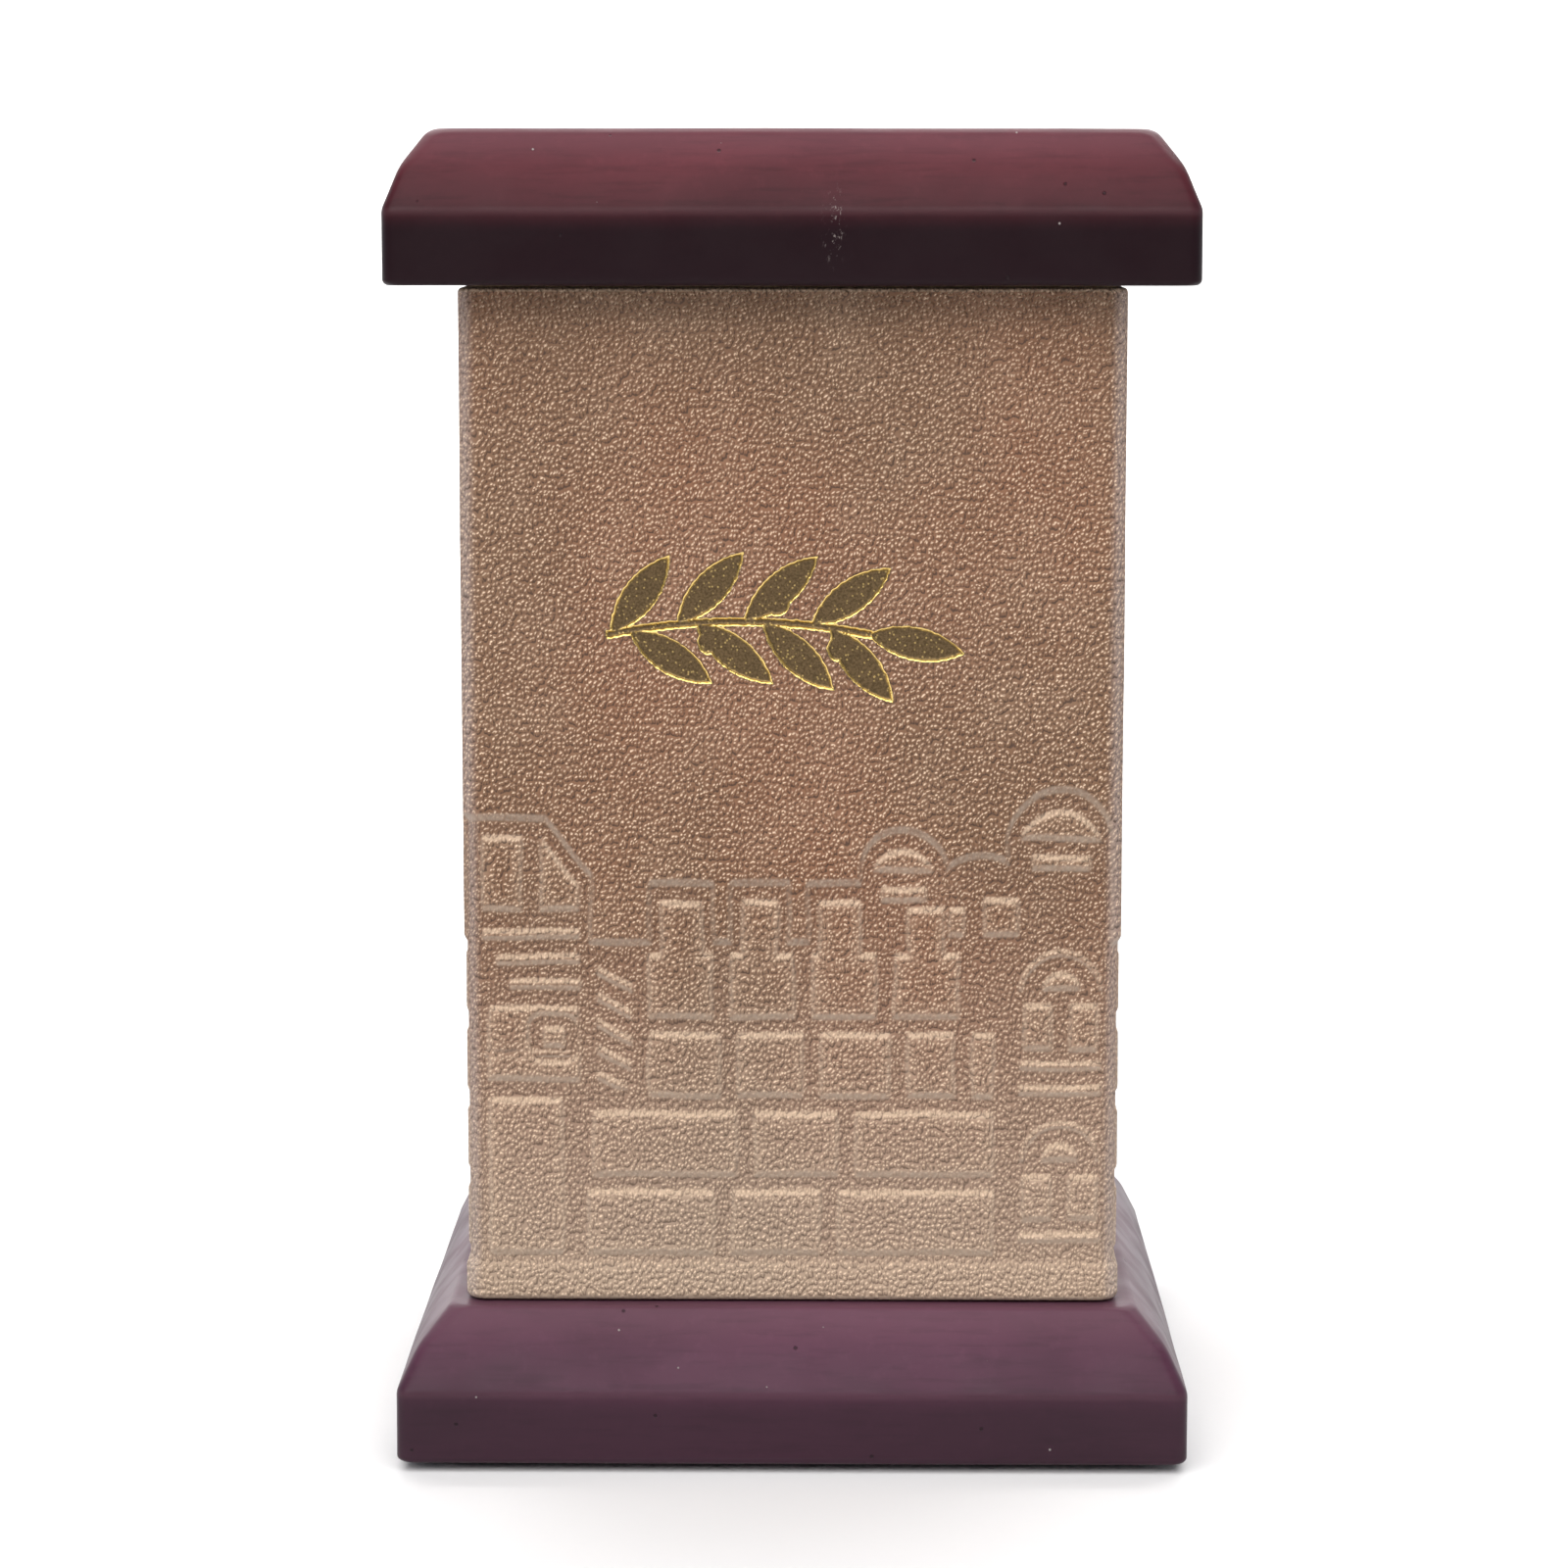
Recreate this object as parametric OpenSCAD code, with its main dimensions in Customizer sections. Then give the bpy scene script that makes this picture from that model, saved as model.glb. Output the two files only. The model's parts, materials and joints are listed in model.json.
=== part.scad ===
// Household donation box: a leather-covered body between a bevelled wooden base and lid.
// Coins drop through a slot in the lid and come out by a captive sliding hatch under the base.
// The origin is the middle of the footprint, +Z is up, and the embossed front faces -Y.

/* [Overall] */
// Width of the base and the lid, left to right
plan_w = 90; // [75:1:120]
// Depth of the base and the lid, front to back
plan_d = 90; // [75:1:120]
// Height of the body, from the base's top to the lid's underside
body_h = 116; // [95:1:160]

/* [Base and lid] */
// Height of the base's upright edge
base_edge_h = 8.3; // [7:0.1:14]
// Height of the base's sloping border
base_slope_h = 8.7; // [5:0.1:14]
// Inward run of the base's sloping border
base_slope_run = 5.8; // [4:0.1:8]
// Height of the lid's upright edge
lid_edge_h = 8.3; // [6:0.1:14]
// Height of the lid's sloping border
lid_slope_h = 8.9; // [5:0.1:14]
// Inward run of the lid's sloping border
lid_slope_run = 4.9; // [3:0.1:8]
// Flat ledge on the base, round the foot of the body
ledge = 2; // [1:0.1:4]
// Rounding along the edges of the base and the lid
edge_r = 1; // [0.4:0.1:2]
// Rounding of the upright corners of the base and the lid
corner_r = 1.6; // [0.6:0.1:3]

/* [Body] */
// Thickness of the four board panels
board_t = 3; // [2:0.1:5]
// Thickness of the leather
leather_t = 1.2; // [0.8:0.1:2]
// Outer rounding of the body's upright corners
body_corner_r = 2.3; // [2.1:0.1:5]
// Width of the square corner posts
post_w = 8; // [7:0.1:12]
// Slit at the leather's seam, at the middle of the back
seam_gap = 0.3; // [0.1:0.1:1]
// Gap between the leather's cut edges and the wood above and below it
leather_end_gap = 0.4; // [0.1:0.1:1]

/* [Coin slot] */
// Length of the slot, from round end to round end
slot_l = 40; // [25:1:50]
// Width of the slot
slot_w = 5; // [4.5:0.1:8]

/* [Hatch] */
// Wood left between the hatch channel and the base's front and back edges
channel_end_wall = 9.7; // [6:0.1:14]
// Width of a hatch rail
rail_w = 9.5; // [9:0.1:12]
// Thickness of a hatch rail
rail_t = 2.5; // [2:0.1:3]
// Overlap of a rail under the hatch's edge
rail_lap = 3.5; // [2:0.1:4]
// Thickness of the hatch
hatch_t = 3; // [2:0.1:4]
// Overlap of the hatch past the opening, in front and behind
hatch_lap = 4; // [3:0.1:6]
// Gap round the hatch in its channel
hatch_gap = 0.15; // [0.1:0.05:0.4]
// Extra travel of the hatch once the opening is clear
travel_spare = 2; // [1:0.5:4]
// Length of the finger groove across the hatch
groove_l = 16; // [6:1:24]
// Width of the finger groove
groove_w = 5; // [3:0.5:8]
// Depth of the finger groove
groove_depth = 1.2; // [0.6:0.1:1.6]

/* [Fasteners and feet] */
// Diameter of the screws that hold the base to the posts
base_screw_d = 3; // [2.5:0.1:4]
// Length of those screws
base_screw_l = 30; // [20:1:40]
// Diameter of the rail screws
rail_screw_d = 2.2; // [1.8:0.1:2.6]
// Length of the rail screws
rail_screw_l = 9; // [6:0.5:12]
// Head diameter of a screw, as a multiple of its shank
screw_head_ratio = 2; // [1.8:0.1:2]
// Depth of the counterbore over each base screw
counterbore_depth = 2; // [1:0.1:3]
// Wood left between a counterbore and the rail beside it
counterbore_web = 2.5; // [1.5:0.1:5]
// Diameter of the lid dowels
dowel_d = 4; // [3:0.1:5]
// Length of the lid dowels
dowel_l = 16; // [10:1:20]
// Radial clearance round screws and dowels
fastener_gap = 0.03; // [0.01:0.01:0.1]
// Diameter of the felt pads
pad_d = 10; // [9:0.5:14]
// Thickness of the felt pads
pad_t = 1; // [0.5:0.1:2]

/* [Foil sprig] */
// Distance from the body's top down to the sprig's middle
sprig_drop = 38; // [25:1:60]
// Depth of the debossed sprig
deboss_depth = 0.5; // [0.3:0.1:0.7]
// Thickness of the foil on the deboss floor
foil_t = 0.15; // [0.1:0.05:0.25]
// Gap between the foil's edge and the deboss wall
foil_edge_gap = 0.08; // [0.05:0.01:0.15]
// Radius of the arc that the stem follows
stem_arc_r = 75; // [50:1:120]
// Half of the angle that the stem spans
stem_half_angle = 11.5; // [9:0.5:14]
// Width of the stem
stem_w = 0.9; // [0.6:0.1:1.4]
// Number of leaf pairs
leaf_pairs = 4; // [3:1:6]
// Length of a leaf
leaf_l = 11; // [8:0.1:12]
// Width of a leaf
leaf_w = 3.7; // [2.4:0.1:4]
// Angle between a leaf and the stem
leaf_angle = 42; // [30:1:50]
// Diameter of an olive
olive_d = 2.8; // [2:0.1:3.2]
// Distance from the stem's middle to an olive's middle
olive_reach = 2.2; // [1.6:0.1:3]

/* [Embossed town] */
// Height of the raised relief above the leather
relief_h = 0.3; // [0.2:0.1:0.6]
// Height of the lowest course above the leather's lower edge
relief_foot = 5; // [3:0.5:8]
// Number of stone courses
course_count = 4; // [3:1:5]
// Height of one course
course_h = 9.1; // [6:0.1:10]
// Sunk joint between stones
joint_w = 1.2; // [0.8:0.1:2]
// Length of a stone
stone_l = 11; // [8:0.5:14]
// Height of the battlements
merlon_h = 6; // [4:0.5:8]
// Width of a battlement
merlon_w = 5; // [4:0.5:7]
// Width of the corner tower
tower_w = 13; // [10:0.5:16]
// Height of the corner tower above the wall
tower_h = 15; // [10:0.5:18]
// Diameter of the dome
dome_d = 8; // [6:0.5:10]

/* [Hidden] */
fine_fn = 48;
cut_over = 1; // how far a cut runs past the face that it leaves
sink = 0.2; // how far a raised stone is rooted in the leather

// Levels, from the ground up
base_z = pad_t;
body_z = base_z + base_edge_h + base_slope_h;
lid_z = body_z + body_h;
lid_h = lid_edge_h + lid_slope_h;

// Plan sizes of the body, from the leather inwards
body_w = plan_w - 2 * (base_slope_run + ledge);
body_d = plan_d - 2 * (base_slope_run + ledge);
core_w = body_w - 2 * leather_t;
core_d = body_d - 2 * leather_t;
core_r = body_corner_r - leather_t;
chamber_w = core_w - 2 * board_t;
chamber_d = core_d - 2 * board_t;
leather_z = body_z + leather_end_gap;
leather_h = body_h - 2 * leather_end_gap;

// Posts, with the screws, dowels and pads on their axes
post_x = (chamber_w - post_w) / 2;
post_y = (chamber_d - post_w) / 2;
dowel_hole_depth = dowel_l / 2 + fastener_gap;
base_head_r = base_screw_d * screw_head_ratio / 2;
counterbore_r = base_head_r + fastener_gap;
base_screw_z = base_z + counterbore_depth;

// Hatch channel: the opening's length leaves room for the hatch to slide fully clear of it
rail_out_x = post_x - counterbore_r - counterbore_web;
rail_in_x = rail_out_x - rail_w;
sight_gap = 0.5;
opening_w = 2 * (rail_in_x - sight_gap);
channel_l = plan_d - 2 * channel_end_wall;
opening_l = (channel_l - 2 * hatch_gap - 3 * hatch_lap - travel_spare) / 2;
hatch_w = 2 * (rail_in_x + rail_lap);
hatch_l = opening_l + 2 * hatch_lap;
hatch_front_y = -channel_l / 2 + hatch_gap;
opening_y = hatch_front_y + hatch_lap + opening_l / 2;
hatch_z = base_z + rail_t + hatch_gap;
channel_top_z = hatch_z + hatch_t + hatch_gap;
rail_screw_x = (hatch_w / 2 + hatch_gap + rail_out_x) / 2;
rail_screw_y = channel_l / 3;
rail_head_r = rail_screw_d * screw_head_ratio / 2;

// Relief levels, measured from the leather's lower edge
wall_top = relief_foot + course_count * course_h;
front_flat = body_w - 2 * body_corner_r;
side_flat = body_d - 2 * body_corner_r;

// Places along the sprig's stem, in steps from one leaf pair to the next
tail_step = 0.07;
pair_stagger = 0.35;
olive_step = 0.55;

// ---------- outlines ----------

function unit(v) = v / norm(v);
function wrapped(list, i) = list[(i + len(list)) % len(list)];
function to_prev(p, i) = unit(wrapped(p, i - 1) - p[i]);
function to_next(p, i) = unit(wrapped(p, i + 1) - p[i]);
function half_angle(p, i) = acos(to_prev(p, i) * to_next(p, i)) / 2;

// A convex outline with each corner rounded by a circle tangent to both of its sides
module rounded_polygon(p, r) {
    polygon([
        for (i = [0 : len(p) - 1])
            each [
                p[i] + to_prev(p, i) * r / tan(half_angle(p, i)),
                p[i] + to_next(p, i) * r / tan(half_angle(p, i))
            ]
    ]);
    for (i = [0 : len(p) - 1])
        translate(p[i] + unit(to_prev(p, i) + to_next(p, i)) * r / sin(half_angle(p, i)))
            circle(r = r, $fn = fine_fn);
}

module rounded_rect(w, d, r) {
    square([w - 2 * r, d], center = true);
    square([w, d - 2 * r], center = true);
    for (x = [-1, 1])
        for (y = [-1, 1])
            translate([x * (w / 2 - r), y * (d / 2 - r)])
                circle(r = r, $fn = fine_fn);
}

// Side view of a bevelled board, from its underside up
module slab_profile(half, edge_h, slope_h, run) {
    top_h = edge_h + slope_h;
    rounded_polygon([
        [-half, 0],
        [half, 0],
        [half, edge_h],
        [half - run, top_h],
        [run - half, top_h],
        [-half, edge_h]
    ], edge_r);
}

// A board with the same bevel on all four sides
module slab(edge_h, slope_h, run) {
    intersection() {
        translate([0, plan_d / 2 + cut_over, 0])
            rotate([90, 0, 0])
                linear_extrude(plan_d + 2 * cut_over)
                    slab_profile(plan_w / 2, edge_h, slope_h, run);
        translate([-plan_w / 2 - cut_over, 0, 0])
            rotate([90, 0, 90])
                linear_extrude(plan_w + 2 * cut_over)
                    slab_profile(plan_d / 2, edge_h, slope_h, run);
        translate([0, 0, -cut_over])
            linear_extrude(edge_h + slope_h + 2 * cut_over)
                rounded_rect(plan_w, plan_d, corner_r);
    }
}

// ---------- shared features ----------

module at_posts() {
    for (x = [-1, 1])
        for (y = [-1, 1])
            translate([x * post_x, y * post_y, 0])
                children();
}

module at_rail_screws(sides) {
    for (x = sides)
        for (y = [-1, 1])
            translate([x * rail_screw_x, y * rail_screw_y, base_z])
                children();
}

// The space of a countersunk screw driven upwards, with its head's face at z = 0
module screw_body(shank_r, head_r, l) {
    head_h = head_r - shank_r;
    tip_h = 2 * shank_r;
    cylinder(h = head_h, r1 = head_r, r2 = shank_r, $fn = fine_fn);
    cylinder(h = l - tip_h, r = shank_r, $fn = fine_fn);
    translate([0, 0, l - tip_h])
        cylinder(h = tip_h, r1 = shank_r, r2 = shank_r / 4, $fn = fine_fn);
}

module wood_screw(shank_r, head_r, l) {
    slot_half = shank_r / 5;
    difference() {
        screw_body(shank_r, head_r, l);
        translate([-head_r - cut_over, -slot_half, -cut_over])
            cube([2 * (head_r + cut_over), 2 * slot_half, cut_over + shank_r / 2]);
    }
}

module screw_hole(shank_r, head_r, l) {
    head_h = head_r - shank_r;
    cylinder(h = head_h, r1 = head_r + fastener_gap, r2 = shank_r + fastener_gap, $fn = fine_fn);
    cylinder(h = l, r = shank_r + fastener_gap, $fn = fine_fn);
}

// ---------- base, hatch and feet ----------

module rail_recess() {
    translate([-rail_out_x, -channel_l / 2, base_z - cut_over])
        cube([2 * rail_out_x, channel_l, rail_t + cut_over]);
}

module hatch_channel() {
    half_w = hatch_w / 2 + hatch_gap;
    translate([-half_w, -channel_l / 2, base_z])
        cube([2 * half_w, channel_l, channel_top_z - base_z]);
}

module emptying_opening() {
    translate([-opening_w / 2, opening_y - opening_l / 2, base_z])
        cube([opening_w, opening_l, base_edge_h + base_slope_h + cut_over]);
}

module base() {
    color([0.33, 0.17, 0.20])
        difference() {
            translate([0, 0, base_z])
                slab(base_edge_h, base_slope_h, base_slope_run);
            rail_recess();
            hatch_channel();
            emptying_opening();
            at_posts()
                translate([0, 0, base_z - cut_over])
                    cylinder(h = counterbore_depth + cut_over, r = counterbore_r, $fn = fine_fn);
            at_posts()
                translate([0, 0, base_screw_z])
                    screw_hole(base_screw_d / 2, base_head_r, base_screw_l);
            at_rail_screws([-1, 1])
                screw_hole(rail_screw_d / 2, rail_head_r, rail_screw_l + fastener_gap);
        }
}

module hatch() {
    color([0.80, 0.66, 0.45])
        difference() {
            translate([-hatch_w / 2, hatch_front_y, hatch_z])
                cube([hatch_w, hatch_l, hatch_t]);
            translate([-groove_l / 2, hatch_front_y + hatch_l / 4 - groove_w / 2, hatch_z - cut_over])
                cube([groove_l, groove_w, groove_depth + cut_over]);
        }
}

module hatch_rail(side) {
    middle_x = side * (rail_in_x + rail_out_x) / 2;
    color([0.72, 0.56, 0.36])
        difference() {
            translate([middle_x - rail_w / 2, -channel_l / 2, base_z])
                cube([rail_w, channel_l, rail_t]);
            at_rail_screws([side])
                screw_hole(rail_screw_d / 2, rail_head_r, rail_screw_l);
        }
}

module hatch_rail_left() { hatch_rail(-1); }
module hatch_rail_right() { hatch_rail(1); }

module rail_screws() {
    color([0.80, 0.66, 0.34])
        at_rail_screws([-1, 1])
            wood_screw(rail_screw_d / 2, rail_head_r, rail_screw_l);
}

module base_screws() {
    color([0.62, 0.62, 0.60])
        at_posts()
            translate([0, 0, base_screw_z])
                wood_screw(base_screw_d / 2, base_head_r, base_screw_l);
}

module felt_pad(x, y) {
    color([0.16, 0.20, 0.17])
        translate([x * post_x, y * post_y, 0])
            cylinder(h = pad_t, d = pad_d, $fn = fine_fn);
}

module felt_pad_front_left() { felt_pad(-1, -1); }
module felt_pad_front_right() { felt_pad(1, -1); }
module felt_pad_back_left() { felt_pad(-1, 1); }
module felt_pad_back_right() { felt_pad(1, 1); }

// ---------- body ----------

module core_outline() { rounded_rect(core_w, core_d, core_r); }

// The front and back panels run the full width, so they carry the rounded corners
module full_panel(side) {
    color([0.70, 0.60, 0.46])
        translate([0, 0, body_z])
            linear_extrude(body_h)
                intersection() {
                    core_outline();
                    translate([0, side * (core_d - board_t) / 2])
                        square([core_w + cut_over, board_t], center = true);
                }
}

module front_panel() { full_panel(-1); }
module back_panel() { full_panel(1); }

module side_panel(side) {
    color([0.66, 0.56, 0.43])
        translate([side * (core_w - board_t) / 2 - board_t / 2, -chamber_d / 2, body_z])
            cube([board_t, chamber_d, body_h]);
}

module left_panel() { side_panel(-1); }
module right_panel() { side_panel(1); }

module corner_post(x, y) {
    screw_depth = base_screw_z + base_screw_l - body_z + fastener_gap;
    color([0.78, 0.64, 0.44])
        translate([x * post_x, y * post_y, body_z])
            difference() {
                translate([-post_w / 2, -post_w / 2, 0])
                    cube([post_w, post_w, body_h]);
                translate([0, 0, -cut_over])
                    cylinder(h = screw_depth + cut_over, r = base_screw_d / 2 + fastener_gap, $fn = fine_fn);
                translate([0, 0, body_h - dowel_hole_depth])
                    cylinder(h = dowel_hole_depth + cut_over, r = dowel_d / 2 + fastener_gap, $fn = fine_fn);
            }
}

module corner_post_front_left() { corner_post(-1, -1); }
module corner_post_front_right() { corner_post(1, -1); }
module corner_post_back_left() { corner_post(-1, 1); }
module corner_post_back_right() { corner_post(1, 1); }

// Extrudes an outline drawn on the front of the body, x across and y up from the leather's
// lower edge, so that it runs from `inside` under the leather's face to `outside` above it
module on_front(inside, outside) {
    translate([0, inside - body_d / 2, leather_z])
        rotate([90, 0, 0])
            linear_extrude(inside + outside)
                children();
}

// The same on the left (-1) or right (1) side of the body
module on_side(side, inside, outside) {
    translate([side * (body_w / 2 - inside), 0, leather_z])
        rotate([90, 0, side * 90])
            linear_extrude(inside + outside)
                children();
}

// ---------- embossed town ----------

// Courses of stones between two ends, with the joints of odd courses moved by half a stone
module stone_courses(from, to) {
    for (row = [0 : course_count - 1])
        let (start = from - (row % 2) * stone_l / 2)
            for (k = [0 : ceil((to - start) / stone_l)])
                let (
                    left = max(from, start + k * stone_l),
                    right = min(to, start + (k + 1) * stone_l) - joint_w
                )
                    if (right - left > joint_w)
                        translate([left, relief_foot + row * course_h])
                            square([right - left, course_h - joint_w]);
}

module battlements(from, to) {
    pitch = 2 * merlon_w;
    for (k = [0 : floor((to - from - merlon_w) / pitch)])
        translate([from + k * pitch, wall_top])
            square([merlon_w, merlon_h]);
}

// A tower with a sloping shoulder, a string course and a window
module tower(left) {
    shoulder = tower_w / 3;
    window_w = tower_w / 4;
    difference() {
        translate([left, wall_top])
            polygon([
                [0, 0],
                [tower_w, 0],
                [tower_w, tower_h - shoulder],
                [tower_w - shoulder, tower_h],
                [0, tower_h]
            ]);
        translate([left, wall_top + tower_h / 3])
            square([tower_w, joint_w]);
        translate([left + (tower_w - window_w) / 2, wall_top + tower_h / 2])
            square([window_w, tower_h / 4]);
    }
}

module dome(x, lift) {
    translate([x, wall_top + lift]) {
        intersection() {
            circle(d = dome_d, $fn = fine_fn);
            translate([-dome_d / 2, 0])
                square([dome_d, dome_d / 2]);
        }
        translate([-dome_d / 2, -lift])
            square([dome_d, lift - joint_w]);
    }
}

module front_town() {
    half = front_flat / 2;
    stone_courses(-half, half);
    tower(-half);
    battlements(-half + tower_w + merlon_w, half - 2.5 * dome_d);
    dome(half - 2 * dome_d, merlon_h);
    dome(half - dome_d / 2, merlon_h + dome_d / 2);
}

module side_town() {
    half = side_flat / 2;
    stone_courses(-half, half);
    battlements(-half, half);
}

// ---------- foil sprig ----------

// A point on the stem, and the stem's direction there, at an angle along its arc
function stem_point(a) = stem_arc_r * [sin(a), cos(a) - cos(stem_half_angle / 2)];
function leaf_turn(a, side) = -a + side * leaf_angle;

// A pointed leaf from the origin along +X: the overlap of two equal discs
module leaf(inset) {
    half_l = leaf_l / 2 - inset;
    half_w = leaf_w / 2 - inset;
    disc_r = (half_l * half_l + half_w * half_w) / (2 * half_w);
    translate([leaf_l / 2, 0])
        intersection() {
            translate([0, disc_r - half_w])
                circle(r = disc_r, $fn = fine_fn);
            translate([0, half_w - disc_r])
                circle(r = disc_r, $fn = fine_fn);
        }
}

module stem(inset) {
    half_w = stem_w / 2 - inset;
    translate([0, -stem_arc_r * cos(stem_half_angle / 2)])
        intersection() {
            difference() {
                circle(r = stem_arc_r + half_w, $fn = fine_fn);
                circle(r = stem_arc_r - half_w, $fn = fine_fn);
            }
            polygon([
                [0, 0],
                2 * stem_arc_r * [-sin(stem_half_angle), cos(stem_half_angle)],
                2 * stem_arc_r * [sin(stem_half_angle), cos(stem_half_angle)]
            ]);
        }
}

// Leaves in pairs along the stem, the lower one of each a little further on, with an olive
// beside every pair but the first, and one leaf at the tip
module sprig(inset) {
    step = 2 * stem_half_angle / leaf_pairs;
    stem(inset);
    for (k = [0 : leaf_pairs - 1])
        for (side = [-1, 1])
            let (a = -stem_half_angle + (k + (side < 0 ? pair_stagger : tail_step)) * step)
                translate(stem_point(a))
                    rotate(leaf_turn(a, side))
                        leaf(inset);
    for (k = [1 : leaf_pairs - 1])
        let (
            a = -stem_half_angle + (k + olive_step) * step,
            side = k % 2 == 0 ? 1 : -1
        )
            translate(stem_point(a) + side * olive_reach * [sin(a), cos(a)])
                circle(d = olive_d - 2 * inset, $fn = fine_fn);
    translate(stem_point(stem_half_angle - tail_step * step))
        rotate(-stem_half_angle)
            leaf(inset);
}

// The tip leaf makes the sprig longer on the right, so it moves left by half a leaf
module placed_sprig(inset) {
    translate([-leaf_l / 2, leather_h + leather_end_gap - sprig_drop])
        sprig(inset);
}

module foil_sprig() {
    color([0.80, 0.65, 0.30])
        on_front(deboss_depth, foil_t - deboss_depth)
            placed_sprig(foil_edge_gap);
}

module leather_wrap() {
    color([0.62, 0.47, 0.36])
        difference() {
            union() {
                translate([0, 0, leather_z])
                    linear_extrude(leather_h)
                        difference() {
                            rounded_rect(body_w, body_d, body_corner_r);
                            core_outline();
                        }
                on_front(sink, relief_h)
                    front_town();
                for (side = [-1, 1])
                    on_side(side, sink, relief_h)
                        side_town();
            }
            on_front(deboss_depth, relief_h + cut_over)
                placed_sprig(0);
            translate([-seam_gap / 2, core_d / 2 - cut_over, leather_z - cut_over])
                cube([seam_gap, leather_t + 2 * cut_over, leather_h + 2 * cut_over]);
        }
}

// ---------- lid ----------

module coin_slot() {
    translate([0, 0, -cut_over])
        linear_extrude(lid_h + 2 * cut_over) {
            square([slot_l - slot_w, slot_w], center = true);
            for (x = [-1, 1])
                translate([x * (slot_l - slot_w) / 2, 0])
                    circle(d = slot_w, $fn = fine_fn);
        }
}

module lid() {
    color([0.33, 0.14, 0.16])
        translate([0, 0, lid_z])
            difference() {
                slab(lid_edge_h, lid_slope_h, lid_slope_run);
                coin_slot();
                at_posts()
                    translate([0, 0, -cut_over])
                        cylinder(
                            h = dowel_hole_depth + cut_over,
                            r = dowel_d / 2 + fastener_gap,
                            $fn = fine_fn
                        );
            }
}

module lid_dowels() {
    color([0.82, 0.70, 0.50])
        at_posts()
            translate([0, 0, lid_z - dowel_l / 2])
                cylinder(h = dowel_l, d = dowel_d, $fn = fine_fn);
}

base();
hatch();
hatch_rail_left();
hatch_rail_right();
rail_screws();
base_screws();
felt_pad_front_left();
felt_pad_front_right();
felt_pad_back_left();
felt_pad_back_right();
front_panel();
back_panel();
left_panel();
right_panel();
corner_post_front_left();
corner_post_front_right();
corner_post_back_left();
corner_post_back_right();
leather_wrap();
foil_sprig();
lid();
lid_dowels();
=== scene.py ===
"""A household donation box: an embossed leather body between a bevelled lacquered base and lid.

Every new piece is a numpy surface in metres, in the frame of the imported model: +Z up, front
towards -Y, origin in the middle of the footprint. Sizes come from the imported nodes' boxes.
"""

import json
from math import cos, pi, radians, sin

import bpy
import numpy as np
from bpy.props import FloatProperty, FloatVectorProperty, PointerProperty
from mathutils import Euler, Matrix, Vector

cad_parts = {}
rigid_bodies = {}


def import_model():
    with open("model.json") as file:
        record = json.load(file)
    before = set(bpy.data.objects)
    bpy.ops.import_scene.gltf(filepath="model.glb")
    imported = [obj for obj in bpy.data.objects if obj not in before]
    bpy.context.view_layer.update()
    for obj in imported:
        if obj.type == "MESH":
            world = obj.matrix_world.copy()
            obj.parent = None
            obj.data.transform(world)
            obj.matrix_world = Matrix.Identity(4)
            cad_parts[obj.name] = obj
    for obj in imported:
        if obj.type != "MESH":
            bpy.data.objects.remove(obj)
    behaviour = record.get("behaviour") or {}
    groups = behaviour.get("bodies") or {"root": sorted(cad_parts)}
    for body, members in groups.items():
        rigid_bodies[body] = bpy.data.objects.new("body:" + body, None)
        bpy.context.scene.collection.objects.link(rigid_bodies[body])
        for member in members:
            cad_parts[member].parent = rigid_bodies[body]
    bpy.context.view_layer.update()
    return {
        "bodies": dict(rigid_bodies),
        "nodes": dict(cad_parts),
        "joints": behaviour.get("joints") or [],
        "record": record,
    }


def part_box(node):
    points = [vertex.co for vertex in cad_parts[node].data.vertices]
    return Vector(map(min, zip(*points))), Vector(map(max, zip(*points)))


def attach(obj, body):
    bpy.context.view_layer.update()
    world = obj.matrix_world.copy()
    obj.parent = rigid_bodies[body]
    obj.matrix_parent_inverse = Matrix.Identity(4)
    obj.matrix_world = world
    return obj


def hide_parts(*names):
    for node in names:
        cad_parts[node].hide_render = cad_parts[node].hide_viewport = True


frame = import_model()

bl_info = {
    "name": "Donation box",
    "version": (1, 0, 0),
    "blender": (4, 5, 0),
    "location": "3D View > Sidebar > Donation box",
    "description": "Builds the visual model of a leather-covered donation box",
    "category": "Object",
}

MM = 0.001

LID_LOW, LID_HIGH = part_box("lid")
BASE_LOW, BASE_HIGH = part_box("base")
PANEL_LOW, PANEL_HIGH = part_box("front_panel")
LEATHER_LOW, LEATHER_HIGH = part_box("leather_wrap")
FOIL_LOW, FOIL_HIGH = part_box("foil_sprig")
_, HATCH_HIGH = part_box("hatch")
_, RAIL_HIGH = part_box("hatch_rail_right")


def opening(name):
    """The low and high corners of one of the record's openings."""
    for entry in frame["record"]["physics"]["openings"]:
        if entry["name"] == name:
            return entry["box_m"]
    raise KeyError(name)


# ---------------------------------------------------------------- settings


def size_setting(name, description, default):
    """A length that a user can change, in metres."""
    return FloatProperty(name=name, description=description, default=default, unit="LENGTH")


def angle_setting(name, description, default):
    """An angle that a user can change, in radians."""
    return FloatProperty(name=name, description=description, default=default, subtype="ANGLE")


def colour_setting(name, description, default):
    """A colour that a user can change."""
    return FloatVectorProperty(
        name=name, description=description, default=default, subtype="COLOR", size=3
    )


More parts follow.
